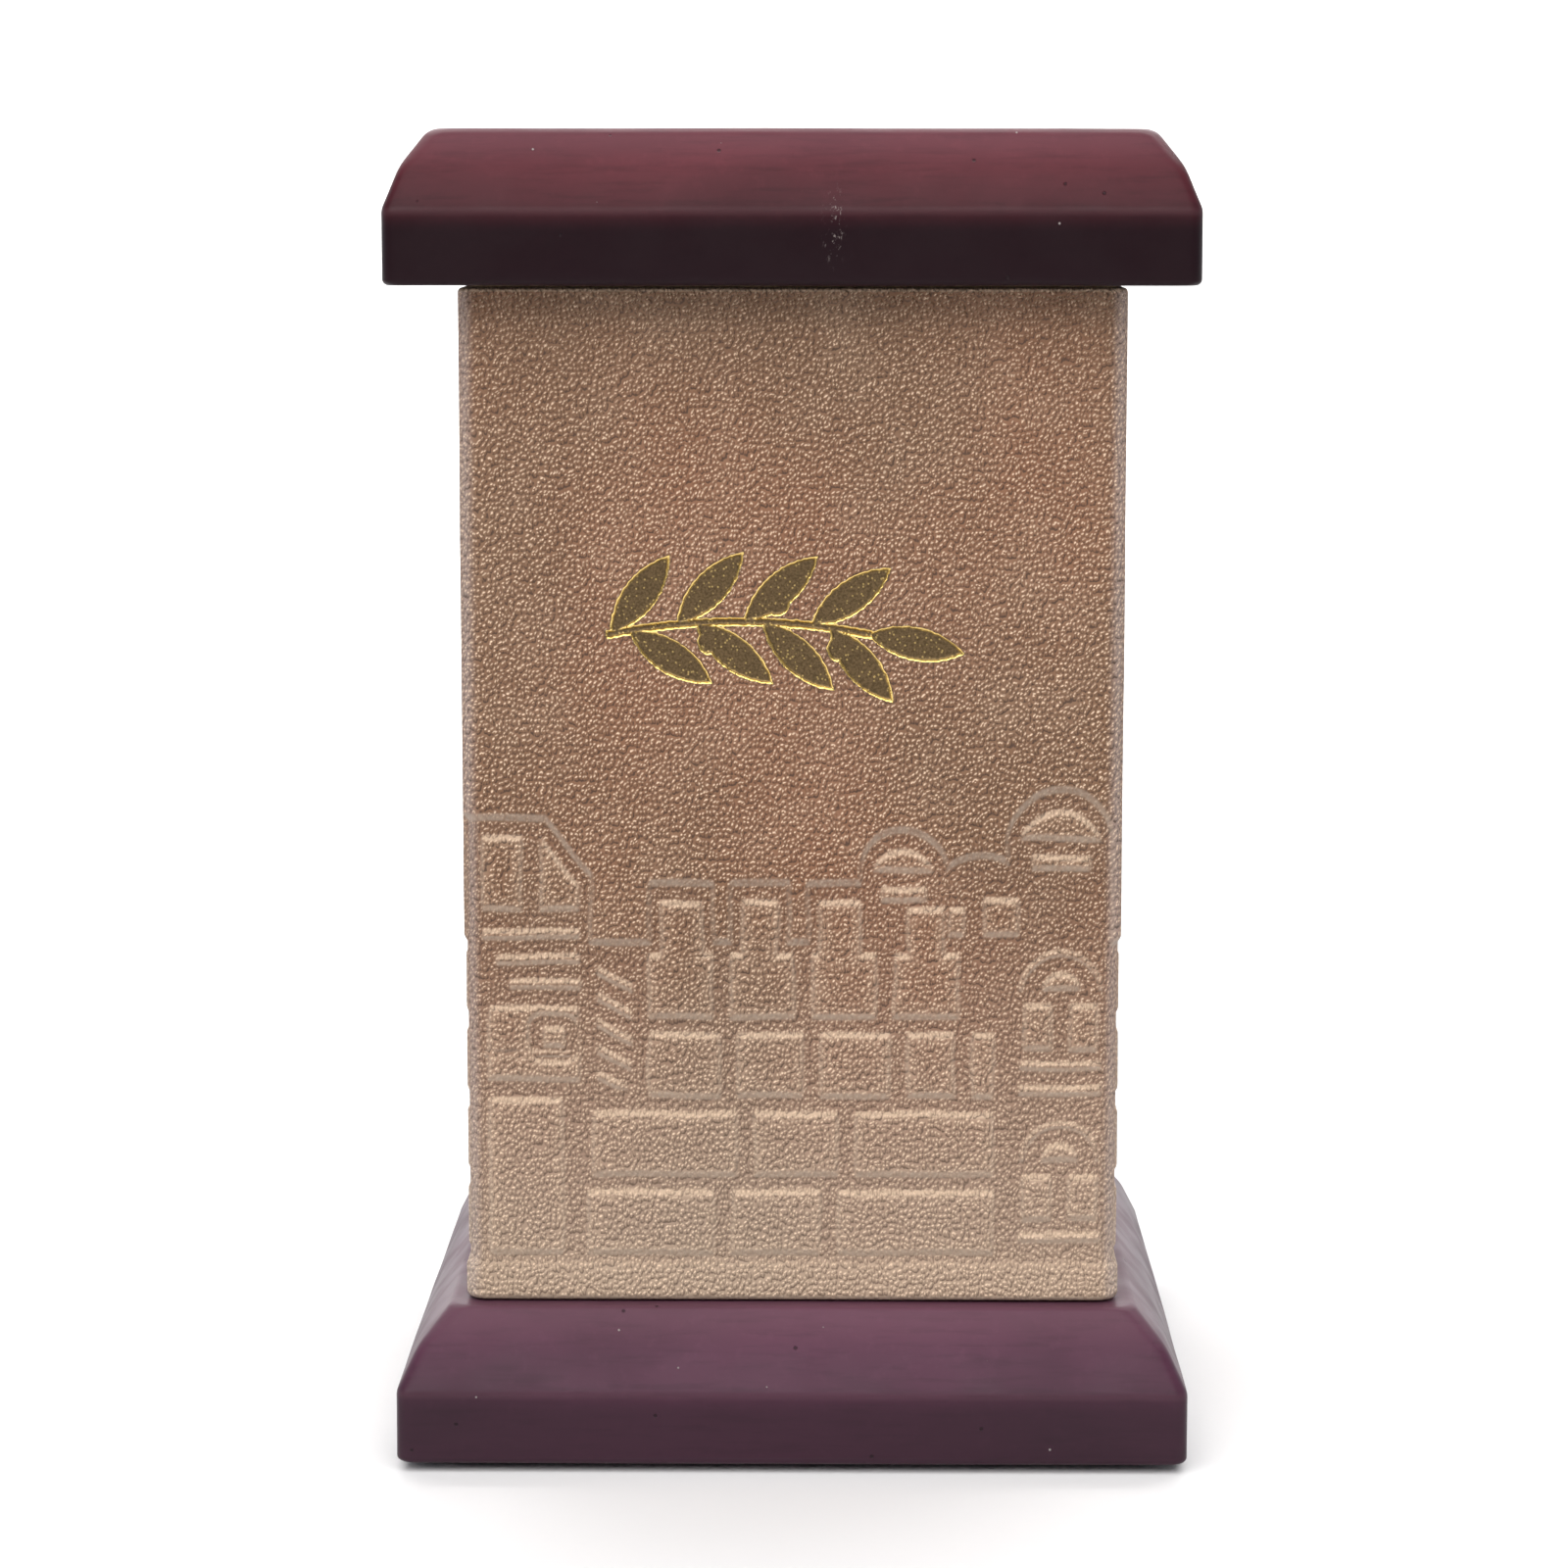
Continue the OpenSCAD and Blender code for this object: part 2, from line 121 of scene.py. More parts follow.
class BoardSettings(bpy.types.PropertyGroup):
    """Sizes and lacquer colours of the base and the lid."""

    edge_softness: size_setting("Edge softness", "Radius of the sanded edges", 1.15 * MM)
    corner_softness: size_setting(
        "Corner softness", "Radius of the upright corners, seen from above", 1.5 * MM
    )
    lid_edge: size_setting("Lid edge", "Height of the lid's upright edge", 8.3 * MM)
    lid_run: size_setting("Lid bevel run", "How far the lid's bevel runs inwards", 4.9 * MM)
    base_edge: size_setting("Base edge", "Height of the base's upright edge", 8.3 * MM)
    base_run: size_setting("Base bevel run", "How far the base's bevel runs inwards", 5.8 * MM)
    slot_length: size_setting("Slot length", "Length of the coin slot", 40 * MM)
    slot_width: size_setting("Slot width", "Width of the coin slot", 5 * MM)
    warp: size_setting("Hand-sanded unevenness", "How far the flat faces wander", 0.05 * MM)
    lid_colour: colour_setting(
        "Lid lacquer", "Colour of the lid's lacquered wood", (0.128, 0.024, 0.034)
    )
    base_colour: colour_setting(
        "Base lacquer", "Colour of the base's lacquered wood", (0.108, 0.037, 0.068)
    )
    # the base shade is the base's dark figure, and also its painted shade on the lower slope, the ends and
    # the upright edge
    base_shade: colour_setting(
        "Base shade", "Colour of the base's dark figure and toned edge", (0.021, 0.011, 0.016)
    )
    # the dark figure colour is also the painted shade on the lid's lower slope, ends and upright edge
    dark_colour: colour_setting(
        "Dark figure", "Colour of the dark figure under the lacquer", (0.0085, 0.0021, 0.0042)
    )


class LeatherSettings(bpy.types.PropertyGroup):
    """Sizes and colours of the leather and its gold foil."""

    thickness: size_setting("Thickness", "Thickness of the leather", 1.2 * MM)
    corner: size_setting("Corner radius", "Outer radius of the body's upright corners", 2.3 * MM)
    edge_roll: size_setting(
        "Edge roll", "Radius of the rolled edges at the top and bottom", 0.8 * MM
    )
    seam_gap: size_setting("Seam", "Width of the slit where the ends meet at the back", 0.3 * MM)
    relief: size_setting(
        "Emboss depth", "How deep the plate presses round the raised stones", 0.47 * MM
    )
    deboss: size_setting("Foil depth", "How deep the foil sprig is stamped", 0.42 * MM)
    grain: size_setting("Grain size", "Spacing of the pebbles in the leather's grain", 0.53 * MM)
    field_colour: colour_setting("Leather", "Colour in the grain's valleys", (0.184, 0.095, 0.050))
    red_colour: colour_setting(
        "Reddish cast", "Colour of the warmer patches", (0.216, 0.098, 0.050)
    )
    # the pale colour makes random pale clouds, and painted light: the pebble highlights, the paler lower
    # part and the up-facing slopes of the emboss
    pale_colour: colour_setting(
        "Pale rub", "Colour of the pebble tops and the rubbed lower part", (0.68, 0.505, 0.36)
    )
    # painted reflection: this grey stands for the pale floor reflected in the down-facing and sideways
    # slopes and in the lower part
    reflected_grey: colour_setting(
        "Pressed grey", "Colour where the plate smoothed the grain", (0.37, 0.30, 0.235)
    )
    gold_colour: colour_setting("Gold foil", "Colour of the foil", (0.80, 0.58, 0.20))


class StageSettings(bpy.types.PropertyGroup):
    """Camera and light."""

    focal: FloatProperty(
        name="Focal length",
        description="Lens, in millimetres on a 36 mm sensor",
        default=101.25,
    )
    distance: size_setting(
        "Distance", "From the camera to the plane of the base's front edge", 0.4845
    )
    height: size_setting(
        "Height", "Height of the camera above the surface the box stands on", 0.1471
    )
    aside: size_setting("Aside", "How far the camera stands to the right of the middle", 0.0047)
    pitch: angle_setting("Pitch", "How far the camera looks down", radians(7.99))
    yaw: angle_setting("Yaw", "How far the camera looks to the left", radians(0.654))
    floor_colour: colour_setting(
        "Floor", "Colour of the floor and the sweep behind it", (0.86, 0.86, 0.87)
    )


def settings():
    """The scene's settings for the boards, the leather and the stage."""
    scene = bpy.context.scene
    return scene.box_boards, scene.box_leather, scene.box_stage


# ---------------------------------------------------------------- meshes


def make_piece(name, points, quads, polygons=(), crease=radians(50), layers=None):
    """A smooth-shaded mesh from an array of points and an array of quads, with larger polygons
    after them and named per-point values. Edges that turn more than crease stay sharp."""
    loops = np.concatenate([np.asarray(quads).ravel(), *[np.asarray(p) for p in polygons]])
    counts = np.concatenate([np.full(len(quads), 4), [len(p) for p in polygons]]).astype(int)
    mesh = bpy.data.meshes.new(name)
    mesh.vertices.add(len(points))
    mesh.vertices.foreach_set("co", np.asarray(points, np.float32).ravel())
    mesh.loops.add(len(loops))
    mesh.loops.foreach_set("vertex_index", loops.astype(np.int32))
    mesh.polygons.add(len(counts))
    mesh.polygons.foreach_set("loop_start", np.concatenate([[0], np.cumsum(counts)[:-1]]))
    for layer, values in (layers or {}).items():
        values = np.asarray(values, np.float32)
        kind, field = ("FLOAT_VECTOR", "vector") if values.ndim > 1 else ("FLOAT", "value")
        mesh.attributes.new(layer, kind, "POINT").data.foreach_set(field, values.ravel())
    mesh.update(calc_edges=True)
    mesh.validate()
    mesh.polygons.foreach_set("use_smooth", np.ones(len(counts), bool))
    mesh.set_sharp_from_angle(angle=crease)
    piece = bpy.data.objects.new(name, mesh)
    bpy.context.scene.collection.objects.link(piece)
    return piece


def grid_quads(rows, columns, close_rows=False, close_columns=False, start=0):
    """The quads of a grid of points numbered row by row from start."""
    i = np.arange(rows if close_rows else rows - 1)[:, None]
    j = np.arange(columns if close_columns else columns - 1)[None, :]
    i2, j2 = (i + 1) % rows, (j + 1) % columns
    corners = [i * columns + j, i * columns + j2, i2 * columns + j2, i2 * columns + j]
    return np.stack([np.broadcast_to(c, (i.size, j.size)) for c in corners], -1).reshape(-1, 4) + start


def ripple(x, y, z, wavelength, seed, waves=9):
    """A smooth wander from -1 to 1 over space: the mean of plane sine waves of about the given
    wavelength, with seeded directions and phases."""
    draw = np.random.default_rng(seed)
    total = 0
    for _ in range(waves):
        direction = draw.normal(size=3)
        direction *= 2 * pi / (wavelength * draw.uniform(0.7, 1.6)) / np.linalg.norm(direction)
        total = total + np.sin(
            direction[0] * x + direction[1] * y + direction[2] * z + draw.uniform(0, 2 * pi)
        )
    return total / waves * 1.6


def softened(points, radii, steps=5):
    """A polyline with each inner corner replaced by a circular arc tangent to both its sides.
    The arc's points run at even angles about its centre."""
    points = [np.asarray(p, float) for p in points]
    out = [points[0]]
    for before, corner, after, radius in zip(points, points[1:], points[2:], radii):
        to_before = (before - corner) / np.linalg.norm(before - corner)
        to_after = (after - corner) / np.linalg.norm(after - corner)
        half = np.arccos(np.clip(to_before @ to_after, -1, 1)) / 2
        centre = corner + (to_before + to_after) / np.linalg.norm(to_before + to_after) * (
            radius / np.sin(half)
        )
        first = corner + to_before * radius / np.tan(half) - centre
        last = corner + to_after * radius / np.tan(half) - centre
        turn = np.arctan2(first[0] * last[1] - first[1] * last[0], first @ last)
        for angle in np.linspace(0, turn, steps):
            c, s = np.cos(angle), np.sin(angle)
            out.append(centre + [c * first[0] - s * first[1], s * first[0] + c * first[1]])
    out.append(points[-1])
    return np.array(out)


def subdivided(path, longest):
    """The same polyline with every stretch cut so that none is longer than longest."""
    parts = []
    for a, b in zip(path, path[1:]):
        n = max(1, int(np.ceil(np.linalg.norm((b - a)[:2]) / longest)))
        parts.append(a + (b - a) * np.linspace(0, 1, n, endpoint=False)[:, None])
    return np.concatenate([*parts, path[-1:]])


SIDE_POINTS, CORNER_POINTS = 72, 7


def rounded_ring(middle, half, radius, z):
    """A closed ring round a rounded rectangle, counter-clockwise seen from above: evenly spaced
    points along each straight side, and points at even angles round each quarter-circle corner."""
    (mx, my), (hx, hy) = middle, half
    radius = min(radius, hx - 1e-6, hy - 1e-6)
    corners = [(1, -1, -90), (1, 1, 0), (-1, 1, 90), (-1, -1, 180)]
    xy = []
    for k, (sx, sy, start) in enumerate(corners):
        angles = np.radians(start + np.linspace(0, 90, CORNER_POINTS))
        arc = np.stack(
            [
                mx + sx * (hx - radius) + radius * np.cos(angles),
                my + sy * (hy - radius) + radius * np.sin(angles),
            ],
            -1,
        )
        tx, ty, turn = corners[(k + 1) % 4]
        turn = np.radians(turn)
        following = np.array(
            [
                mx + tx * (hx - radius) + radius * np.cos(turn),
                my + ty * (hy - radius) + radius * np.sin(turn),
            ]
        )
        t = np.linspace(0, 1, SIDE_POINTS + 2)[1:-1, None]
        xy += [arc, arc[-1] * (1 - t) + following * t]
    xy = np.concatenate(xy)
    return np.column_stack([xy, np.full(len(xy), z)])


def board_from_rings(name, rings, warp, seed):
    """A board bored right through: closed rings carried up the outside, in over the top, down
    the bore and out under the bottom, joined into one grid that closes both ways. Each point
    then wanders by warp along a smooth field, so that no face is perfectly flat."""
    points = np.stack(rings)
    x, y, z = points[..., 0], points[..., 1], points[..., 2]
    for axis in range(3):
        points[..., axis] += warp * ripple(x, y, z, 30 * MM, seed + axis)
    rows, columns = points.shape[:2]
    return make_piece(name, points.reshape(-1, 3), grid_quads(rows, columns, True, True))


# ---------------------------------------------------------------- lid and base


def rings_between(a, b, count):
    """Rings shared out evenly between two rings, without either of them."""
    return [a + (b - a) * t for t in np.linspace(0, 1, count + 2)[1:-1]]


def bevel(edge, run, high):
    """The side view of a bevel that swells a little in its middle, from the upright edge to a
    point on the flat top."""
    middle = (run * 0.5 - 0.62 * MM, (edge + high) / 2 + 0.3 * MM)
    return [(0, edge), middle, (run, high), (run + 4 * MM, high)]


def lid_rings(boards):
    """The lid's outline is swept round its bevelled side view: up the edge, up the bevel, in over
    the flat top to the slot's rounded rim, down the slot and out under the bottom."""
    half = (LID_HIGH.x - LID_LOW.x) / 2
    low, high, soft = LID_LOW.z, LID_HIGH.z, boards.edge_softness
    margin = boards.warp * 1.6
    half -= margin
    high -= margin
    side = softened(
        [(6 * MM, low), (0, low), *bevel(low + boards.lid_edge, boards.lid_run, high)],
        [0.7 * MM, soft * 2.2, soft * 7, soft * 2.0],
        9,
    )
    side = subdivided(side, 1.2 * MM)
    outer = [
        rounded_ring((0, 0), (half - inset, half - inset), boards.corner_softness + inset * 0.12, z)
        for inset, z in side
    ]
    slot = (boards.slot_length / 2, boards.slot_width / 2)
    rim = softened([(-3 * MM, high), (0, high), (0, low), (-3 * MM, low)], [0.7 * MM, 0.4 * MM], 6)
    rim = subdivided(rim, 2 * MM)
    inner = [
        rounded_ring((0, 0), (slot[0] - inset, slot[1] - inset), slot[1] - inset, z)
        for inset, z in rim
    ]
    top = rings_between(outer[-1], inner[0], 14)
    bottom = rings_between(inner[-1], outer[0], 10)
    return outer + top + inner + bottom


def base_rings(boards):
    """The base's outline is swept the same way, in over the ledge to the emptying opening, down
    it to the hatch's channel, out and down past the rails, and out under the bottom."""
    half = (BASE_HIGH.x - BASE_LOW.x) / 2
    low, high, soft = BASE_LOW.z, BASE_HIGH.z, boards.edge_softness
    margin = boards.warp * 1.6
    half -= margin
    side = softened(
        [(5 * MM, low), (0, low), *bevel(low + boards.base_edge, boards.base_run, high)],
        [0.8 * MM, soft * 2.0, soft * 7, soft * 1.0],
        9,
    )
    side = subdivided(side, 1.2 * MM)
    outer = [
        rounded_ring((0, 0), (half - inset, half - inset), boards.corner_softness + inset * 0.1, z)
        for inset, z in side
    ]
    (_, front, under), (right, back, _) = opening("emptying_opening")
    gap = 0.1 * MM
    hole = ((0, (front + back) / 2), (right + gap, (back - front) / 2 + gap))
    channel_half = (HATCH_HIGH.x + 0.15 * MM, RAIL_HIGH.y)
    recess_half = (RAIL_HIGH.x, RAIL_HIGH.y + 0.02 * MM)
    ceiling = under - gap
    shelf = RAIL_HIGH.z
    inner = [
        rounded_ring(*hole, 0.5 * MM, high),
        rounded_ring(*hole, 0.5 * MM, ceiling),
        rounded_ring((0, 0), channel_half, 0.3 * MM, ceiling),
        rounded_ring((0, 0), channel_half, 0.3 * MM, shelf),
        rounded_ring((0, 0), recess_half, 0.25 * MM, shelf),
        rounded_ring((0, 0), recess_half, 0.2 * MM, low),
    ]
    top = rings_between(outer[-1], inner[0], 8)
    bottom = rings_between(inner[-1], outer[0], 6)
    return outer + top + inner + bottom


# ---------------------------------------------------------------- leather surface

BODY_HALF_W = PANEL_HIGH.x
BODY_HALF_D = -PANEL_LOW.y
FOOT_DROP = 0.2 * MM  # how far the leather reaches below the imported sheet's lower edge
FACE_PROUD = 0.2 * MM  # how far its unpressed face stands out from its path


class Body:
    """The leather's outer outline, measured along its path from the middle of the front."""

    def __init__(self, leather):
        self.r = leather.corner
        self.w = BODY_HALF_W + leather.thickness
        self.d = BODY_HALF_D + leather.thickness
        quarter = pi * self.r / 2
        self.front_end = self.w - self.r
        self.side_start = self.front_end + quarter
        self.side_end = self.side_start + 2 * (self.d - self.r)
        self.back_start = self.side_end + quarter
        self.seam = self.back_start + self.w - self.r - leather.seam_gap / 2

    def place(self, s, out):
        """The point at path length s, moved outwards by out: straight runs joined by quarter
        circles of radius r, mirrored for a negative s."""
        t = np.abs(s)
        a = np.clip((t - self.front_end) / self.r, 0, pi / 2)
        b = np.clip((t - self.side_end) / self.r, 0, pi / 2)
        turn = a + b
        nx, ny = np.sin(turn), -np.cos(turn)
        run_front = np.minimum(t, self.front_end)
        run_side = np.clip(t - self.side_start, 0, self.side_end - self.side_start)
        run_back = np.maximum(t - self.back_start, 0)
        x = run_front + self.r * nx - run_back
        y = run_side + self.r - self.d + self.r * ny
        return np.sign(s + 1e-12) * (x + out * nx), y + out * ny


def rectangle(x, y, x0, x1, y0, y1, r=0.4 * MM):
    """Signed distance to a rectangle with corners of radius r."""
    qx = np.abs(x - (x0 + x1) / 2) - (x1 - x0) / 2 + r
    qy = np.abs(y - (y0 + y1) / 2) - (y1 - y0) / 2 + r
    return np.hypot(np.maximum(qx, 0), np.maximum(qy, 0)) + np.minimum(np.maximum(qx, qy), 0) - r


def disc(x, y, cx, cy, radius):
    """Signed distance to a disc."""
    return np.hypot(x - cx, y - cy) - radius


def leaning_side(x, y, x0, y0, x1, y1):
    """Signed distance to the line through two points, negative on the left of its direction."""
    length = np.hypot(x1 - x0, y1 - y0)
    return ((x - x0) * (y1 - y0) - (y - y0) * (x1 - x0)) / length


def union(*shapes):
    """Signed distance to all the shapes together."""
    return np.minimum.reduce(shapes)


def swell(distance, width):
    """0 outside a shape, rising smoothly to 1 at width inside it."""
    t = np.clip(-distance / width, 0, 1)
    return t * t * (3 - 2 * t)


# The town's plan, in millimetres: across from the middle of the front and up from the leather's
# lower edge. The sides carry the same wall on, with their own battlements and a domed house.
WALL_FOOT, COURSE, JOINT = 5.0, 9.15, 1.25
COURSES = 4
WALL_TOP = WALL_FOOT + COURSES * COURSE - JOINT
SLOPE_OUT, SLOPE_IN = 1.05 * MM, 0.85 * MM


def stone(x, y, x0, x1, y0, y1, r=0.6):
    """Signed distance to a dressed stone whose corners are given in millimetres."""
    return rectangle(x, y, x0 * MM, x1 * MM, y0 * MM, y1 * MM, min(r, (x1 - x0) / 2.2) * MM)


def line(x, y, x0, y0, x1, y1):
    """Signed distance to a line given in millimetres, negative on the left of its direction."""
    return leaning_side(x, y, x0 * MM, y0 * MM, x1 * MM, y1 * MM)


def stone_row(x, y, row, start, end, shortest, longest, seed):
    """One course of stones between two ends, cut to seeded lengths."""
    draw = np.random.default_rng(seed)
    low = WALL_FOOT + row * COURSE
    shapes = []
    left = start
    while left < end - 2:
        right = left + draw.uniform(shortest, longest)
        if end - right < shortest * 0.6:
            right = end
        shapes.append(stone(x, y, left, right - JOINT, low, low + COURSE - JOINT, 0.45))
        left = right
    return union(*shapes)


def battlements(x, y, start, count, pitch, width, seed):
    """Merlons standing on the stones of the top course, each in an outline of its own."""
    draw = np.random.default_rng(seed)
    low = WALL_TOP - COURSE + JOINT
    outline, stones = [], []
    for k in range(count):
        left = start + k * pitch
        middle = left + (pitch - JOINT) / 2 + draw.uniform(-0.5, 0.5)
        half = width / 2 + draw.uniform(-0.25, 0.35)
        top = WALL_TOP + 5.4 + draw.uniform(-0.5, 0.9)
        outline.append(stone(x, y, middle - half - 1.4, middle + half + 1.4, 30, top + 2.4, 0.9))
        stones.append(stone(x, y, middle - half, middle + half, WALL_TOP - 3, top, 0.35))
        stones.append(stone(x, y, left, left + pitch - JOINT, low, WALL_TOP, 0.4))
    return union(*outline), union(*stones)


def corner_tower(x, y, start, end, top):
    """A tower with a leaning right shoulder: two tall panels, three string courses, a lodge with
    a window, and a plain plinth."""
    shoulder = line(x, y, end, top - 7, end - 5.4, top)
    outline = np.maximum(stone(x, y, start - 3, end, 28, top, 0.5), shoulder)
    split = start + (end - start) * 0.45
    panels = union(
        stone(x, y, start, split - 0.7, top - 11.4, top - 2.4, 0.5),
        np.maximum(stone(x, y, split + 0.7, end - 1.5, top - 11.4, top - 2.4, 0.5), shoulder + 2 * MM),
    )
    bands = union(
        *[
            stone(x, y, start + k * 1.6, end - 1.5, top - 14.6 - 2.9 * k, top - 13.1 - 2.9 * k, 0.5)
            for k in range(3)
        ]
    )
    window = stone(x, y, split + 0.9, split + 4, top - 27.2, top - 24.4, 0.4)
    lodge = np.maximum(
        stone(x, y, start + 0.6, end - 1.5, top - 31, top - 22, 0.5), 0.95 * MM - window
    )
    plinth = stone(x, y, start + 0.6, end - 3.4, WALL_FOOT, top - 32.6, 0.8)
    ground = stone(x, y, start - 3, end - 1.9, WALL_FOOT - 1.4, 29, 0.5)
    return union(outline, ground), union(panels, bands, lodge, window, plinth)


def stair(x, y, start, end, low, high, steps):
    """Slanting treads that climb to the left between a wall and a tower."""
    rise = (high - low) / steps
    frame = stone(x, y, start, end, low, high, 0.5)
    treads = []
    for k in range(steps):
        foot = low + rise * k
        above = line(x, y, end, foot + rise * 0.1, start, foot + rise * 0.95)
        below = line(x, y, start, foot + rise * 0.45, end, foot - rise * 0.4)
        treads.append(np.maximum.reduce([frame, above, below]))
    return union(*treads)


def domed_house(x, y, middle, radius, spring):
    """A half-round dome over a drum, in an outline of its own."""
    outline = union(
        disc(x, y, middle * MM, spring * MM, (radius + 1.9) * MM),
        stone(x, y, middle - radius - 1.9, middle + radius + 1.9, 38, spring, 0.4),
    )
    dome = np.maximum(
        disc(x, y, middle * MM, (spring - radius * 0.3) * MM, radius * 1.12 * MM), spring * MM - y
    )
    drum = stone(x, y, middle - radius * 0.8, middle + radius * 0.8, spring - 3.4, spring - 1.3, 0.4)
    return outline, union(dome, drum)


def gatehouse(x, y, start, end, top):
    """Two arched openings, one over the other, between banded courses."""
    middle, radius = (start + end) / 2, (end - start) / 2
    outline = stone(x, y, start - 1.4, end + 1.4, WALL_FOOT - 1.4, top, 0.6)
    shapes = []
    for crown in (top - 1.8, top - 21.6):
        ring = np.abs(disc(x, y, middle * MM, (crown - radius) * MM, (radius - 0.55) * MM)) - 0.55 * MM
        shapes.append(np.maximum(ring, (crown - radius) * MM - y))
        inner = disc(x, y, middle * MM, (crown - radius) * MM, (radius - 2.5) * MM)
        shapes.append(np.maximum(inner, (crown - radius) * MM - y))
        foot = crown - radius - 1.2
        shapes.append(stone(x, y, start + 0.4, middle - 0.6, foot - 5.8, foot, 0.5))
        shapes.append(stone(x, y, middle + 0.6, end - 0.4, foot - 5.8, foot, 0.5))
    for drop, thick in ((14.6, 1.4), (17.4, 1.6), (34.6, 1.5)):
        shapes.append(stone(x, y, start, end, top - drop - thick, top - drop, 0.4))
    shapes.append(stone(x, y, start, end, WALL_FOOT, top - 37.4, 0.5))
    return outline, union(*shapes)


def town(s, y, body):
    """Signed distances to the pressed ground of the town and to the stones that stand in it."""
    edge = body.front_end / MM
    ground, stones = [], []
    s = s + ripple(s, 0 * y, y, 6 * MM, 50) * 0.16 * MM
    y = y + ripple(s, 0 * y, y, 8 * MM, 51) * 0.13 * MM

    def add(pair):
        """Take in a building's outline and its stones."""
        ground.append(pair[0])
        stones.append(pair[1])

    # the front: a corner tower, a stair, the wall, two domes and a gatehouse
    tower_end, gate_start = -edge + 12.6, edge - 9.4
    add(corner_tower(s, y, -edge - 0.6, tower_end, 56.2))
    wall_start, wall_end = tower_end + 2.2, gate_start - 2.2
    ground.append(
        stone(s, y, tower_end - 3.6, gate_start, WALL_FOOT - 1.4, WALL_TOP + 1.7, 0.6)
    )
    lowest = tower_end - 1.4
    stones.append(stone_row(s, y, 0, lowest, wall_end + JOINT, 7, 17, 4))
    stones.append(stone_row(s, y, 1, lowest + 0.6, wall_end + JOINT, 8, 20, 9))
    stones.append(stone_row(s, y, 2, wall_start + 3.4, wall_end + JOINT, 7, 11, 21))
    stones.append(stair(s, y, tower_end - 0.2, wall_start + 2.2, 24.2, WALL_TOP - 1, 5))
    add(battlements(s, y, wall_start + 3.4, 4, 9.3, 5.0, 7))
    add(domed_house(s, y, 12.6, 3.6, 49.4))
    ground.append(disc(s, y, 21.4 * MM, 45.4 * MM, 6.6 * MM))
    stones.append(stone(s, y, 17.4, 19.9, WALL_TOP + 1.6, WALL_TOP + 5.2, 0.4))
    stones.append(stone(s, y, 21.3, 26, WALL_TOP + 1.6, WALL_TOP + 6.4, 0.5))
    add(domed_house(s, y, 30.4, 4.6, 53))
    add(gatehouse(s, y, gate_start, edge + 0.6, 42.6))

    # the same wall, carried on round both sides
    t = np.abs(s)
    first, last = body.side_start / MM + 0.9, body.side_end / MM - 0.9
    ground.append(stone(t, y, edge - 0.6, last + 1.2, WALL_FOOT - 1.4, WALL_TOP + 1.7, 0.6))
    for row, (shortest, longest) in enumerate(((7, 17), (8, 20), (7, 12))):
        stones.append(stone_row(t, y, row, first, last + JOINT, shortest, longest, 30 + row))
    pitch = (last - first + JOINT) / 7
    add(battlements(t, y, first, 7, pitch, 5.0, 13))
    add(domed_house(t, y, first + 2.5 * pitch, 4.2, 51))
    return union(*ground), union(*stones)


# ---------------------------------------------------------------- sprig

STEM_R, STEM_HALF, STEM_W = 75 * MM, radians(11.5), 0.9 * MM
LEAF_PAIRS, LEAF_L, LEAF_W, LEAF_TURN = 4, 11 * MM, 3.7 * MM, radians(42)
OLIVE_R, OLIVE_REACH = 1.4 * MM, 2.2 * MM
TAIL_STEP, PAIR_STAGGER, OLIVE_STEP = 0.07, 0.35, 0.55
SPRIG_LEVEL = PANEL_HIGH.z - 38 * MM
STAMP_WALL = 0.3 * MM


def stem_point(angle):
    """The stem follows a circle's arc about a centre straight below it."""
    return STEM_R * sin(angle), STEM_R * (cos(angle) - cos(STEM_HALF / 2))


def leaf_distance(x, y, root, turn):
    """Signed distance to a pointed leaf: the overlap of two equal discs."""
    c, s = cos(turn), sin(turn)
    along = (x - root[0]) * c + (y - root[1]) * s - LEAF_L / 2
    across = (y - root[1]) * c - (x - root[0]) * s
    half_l, half_w = LEAF_L / 2, LEAF_W / 2
    radius = (half_l**2 + half_w**2) / (2 * half_w)
    return np.maximum(
        np.hypot(along, across - radius + half_w) - radius,
        np.hypot(along, across + radius - half_w) - radius,
    )


def sprig_distance(x, z):
    """Signed distance, on the front face, to the olive sprig: stem, leaf pairs, tip and olives."""
    x = x - (FOIL_LOW.x + FOIL_HIGH.x) / 2 + LEAF_L / 2
    y = z - SPRIG_LEVEL
    depth = STEM_R * cos(STEM_HALF / 2)
    radius, angle = np.hypot(x, y + depth), np.arctan2(x, y + depth)
    shapes = [
        np.maximum(
            np.abs(radius - STEM_R) - STEM_W / 2, (np.abs(angle) - STEM_HALF) * STEM_R
        )
    ]
    step = 2 * STEM_HALF / LEAF_PAIRS
    for k in range(LEAF_PAIRS):
        for side, shift in ((1, TAIL_STEP), (-1, PAIR_STAGGER)):
            a = -STEM_HALF + (k + shift) * step
            shapes.append(leaf_distance(x, y, stem_point(a), -a + side * LEAF_TURN))
    for k in range(1, LEAF_PAIRS):
        a = -STEM_HALF + (k + OLIVE_STEP) * step
        side = 1 if k % 2 == 0 else -1
        px, py = stem_point(a)
        shapes.append(
            disc(x, y, px + side * OLIVE_REACH * sin(a), py + side * OLIVE_REACH * cos(a), OLIVE_R)
        )
    tip = STEM_HALF - TAIL_STEP * step
    shapes.append(leaf_distance(x, y, stem_point(tip), -STEM_HALF))
    ragged = ripple(x, 0 * y, y, 0.7 * MM, 60) * 0.07 * MM
    return union(*shapes) + ragged


def stamp(distance, depth):
    """How far the hot stamp sinks at a distance from the sprig's outline: a full depth inside, a
    short steep wall, and a slight pull-down of the leather just outside."""
    wall = swell(distance, STAMP_WALL)
    pull = np.exp(-np.maximum(distance, 0) / (0.5 * MM)) * 0.12
    return -depth * (wall * 0.88 + pull)


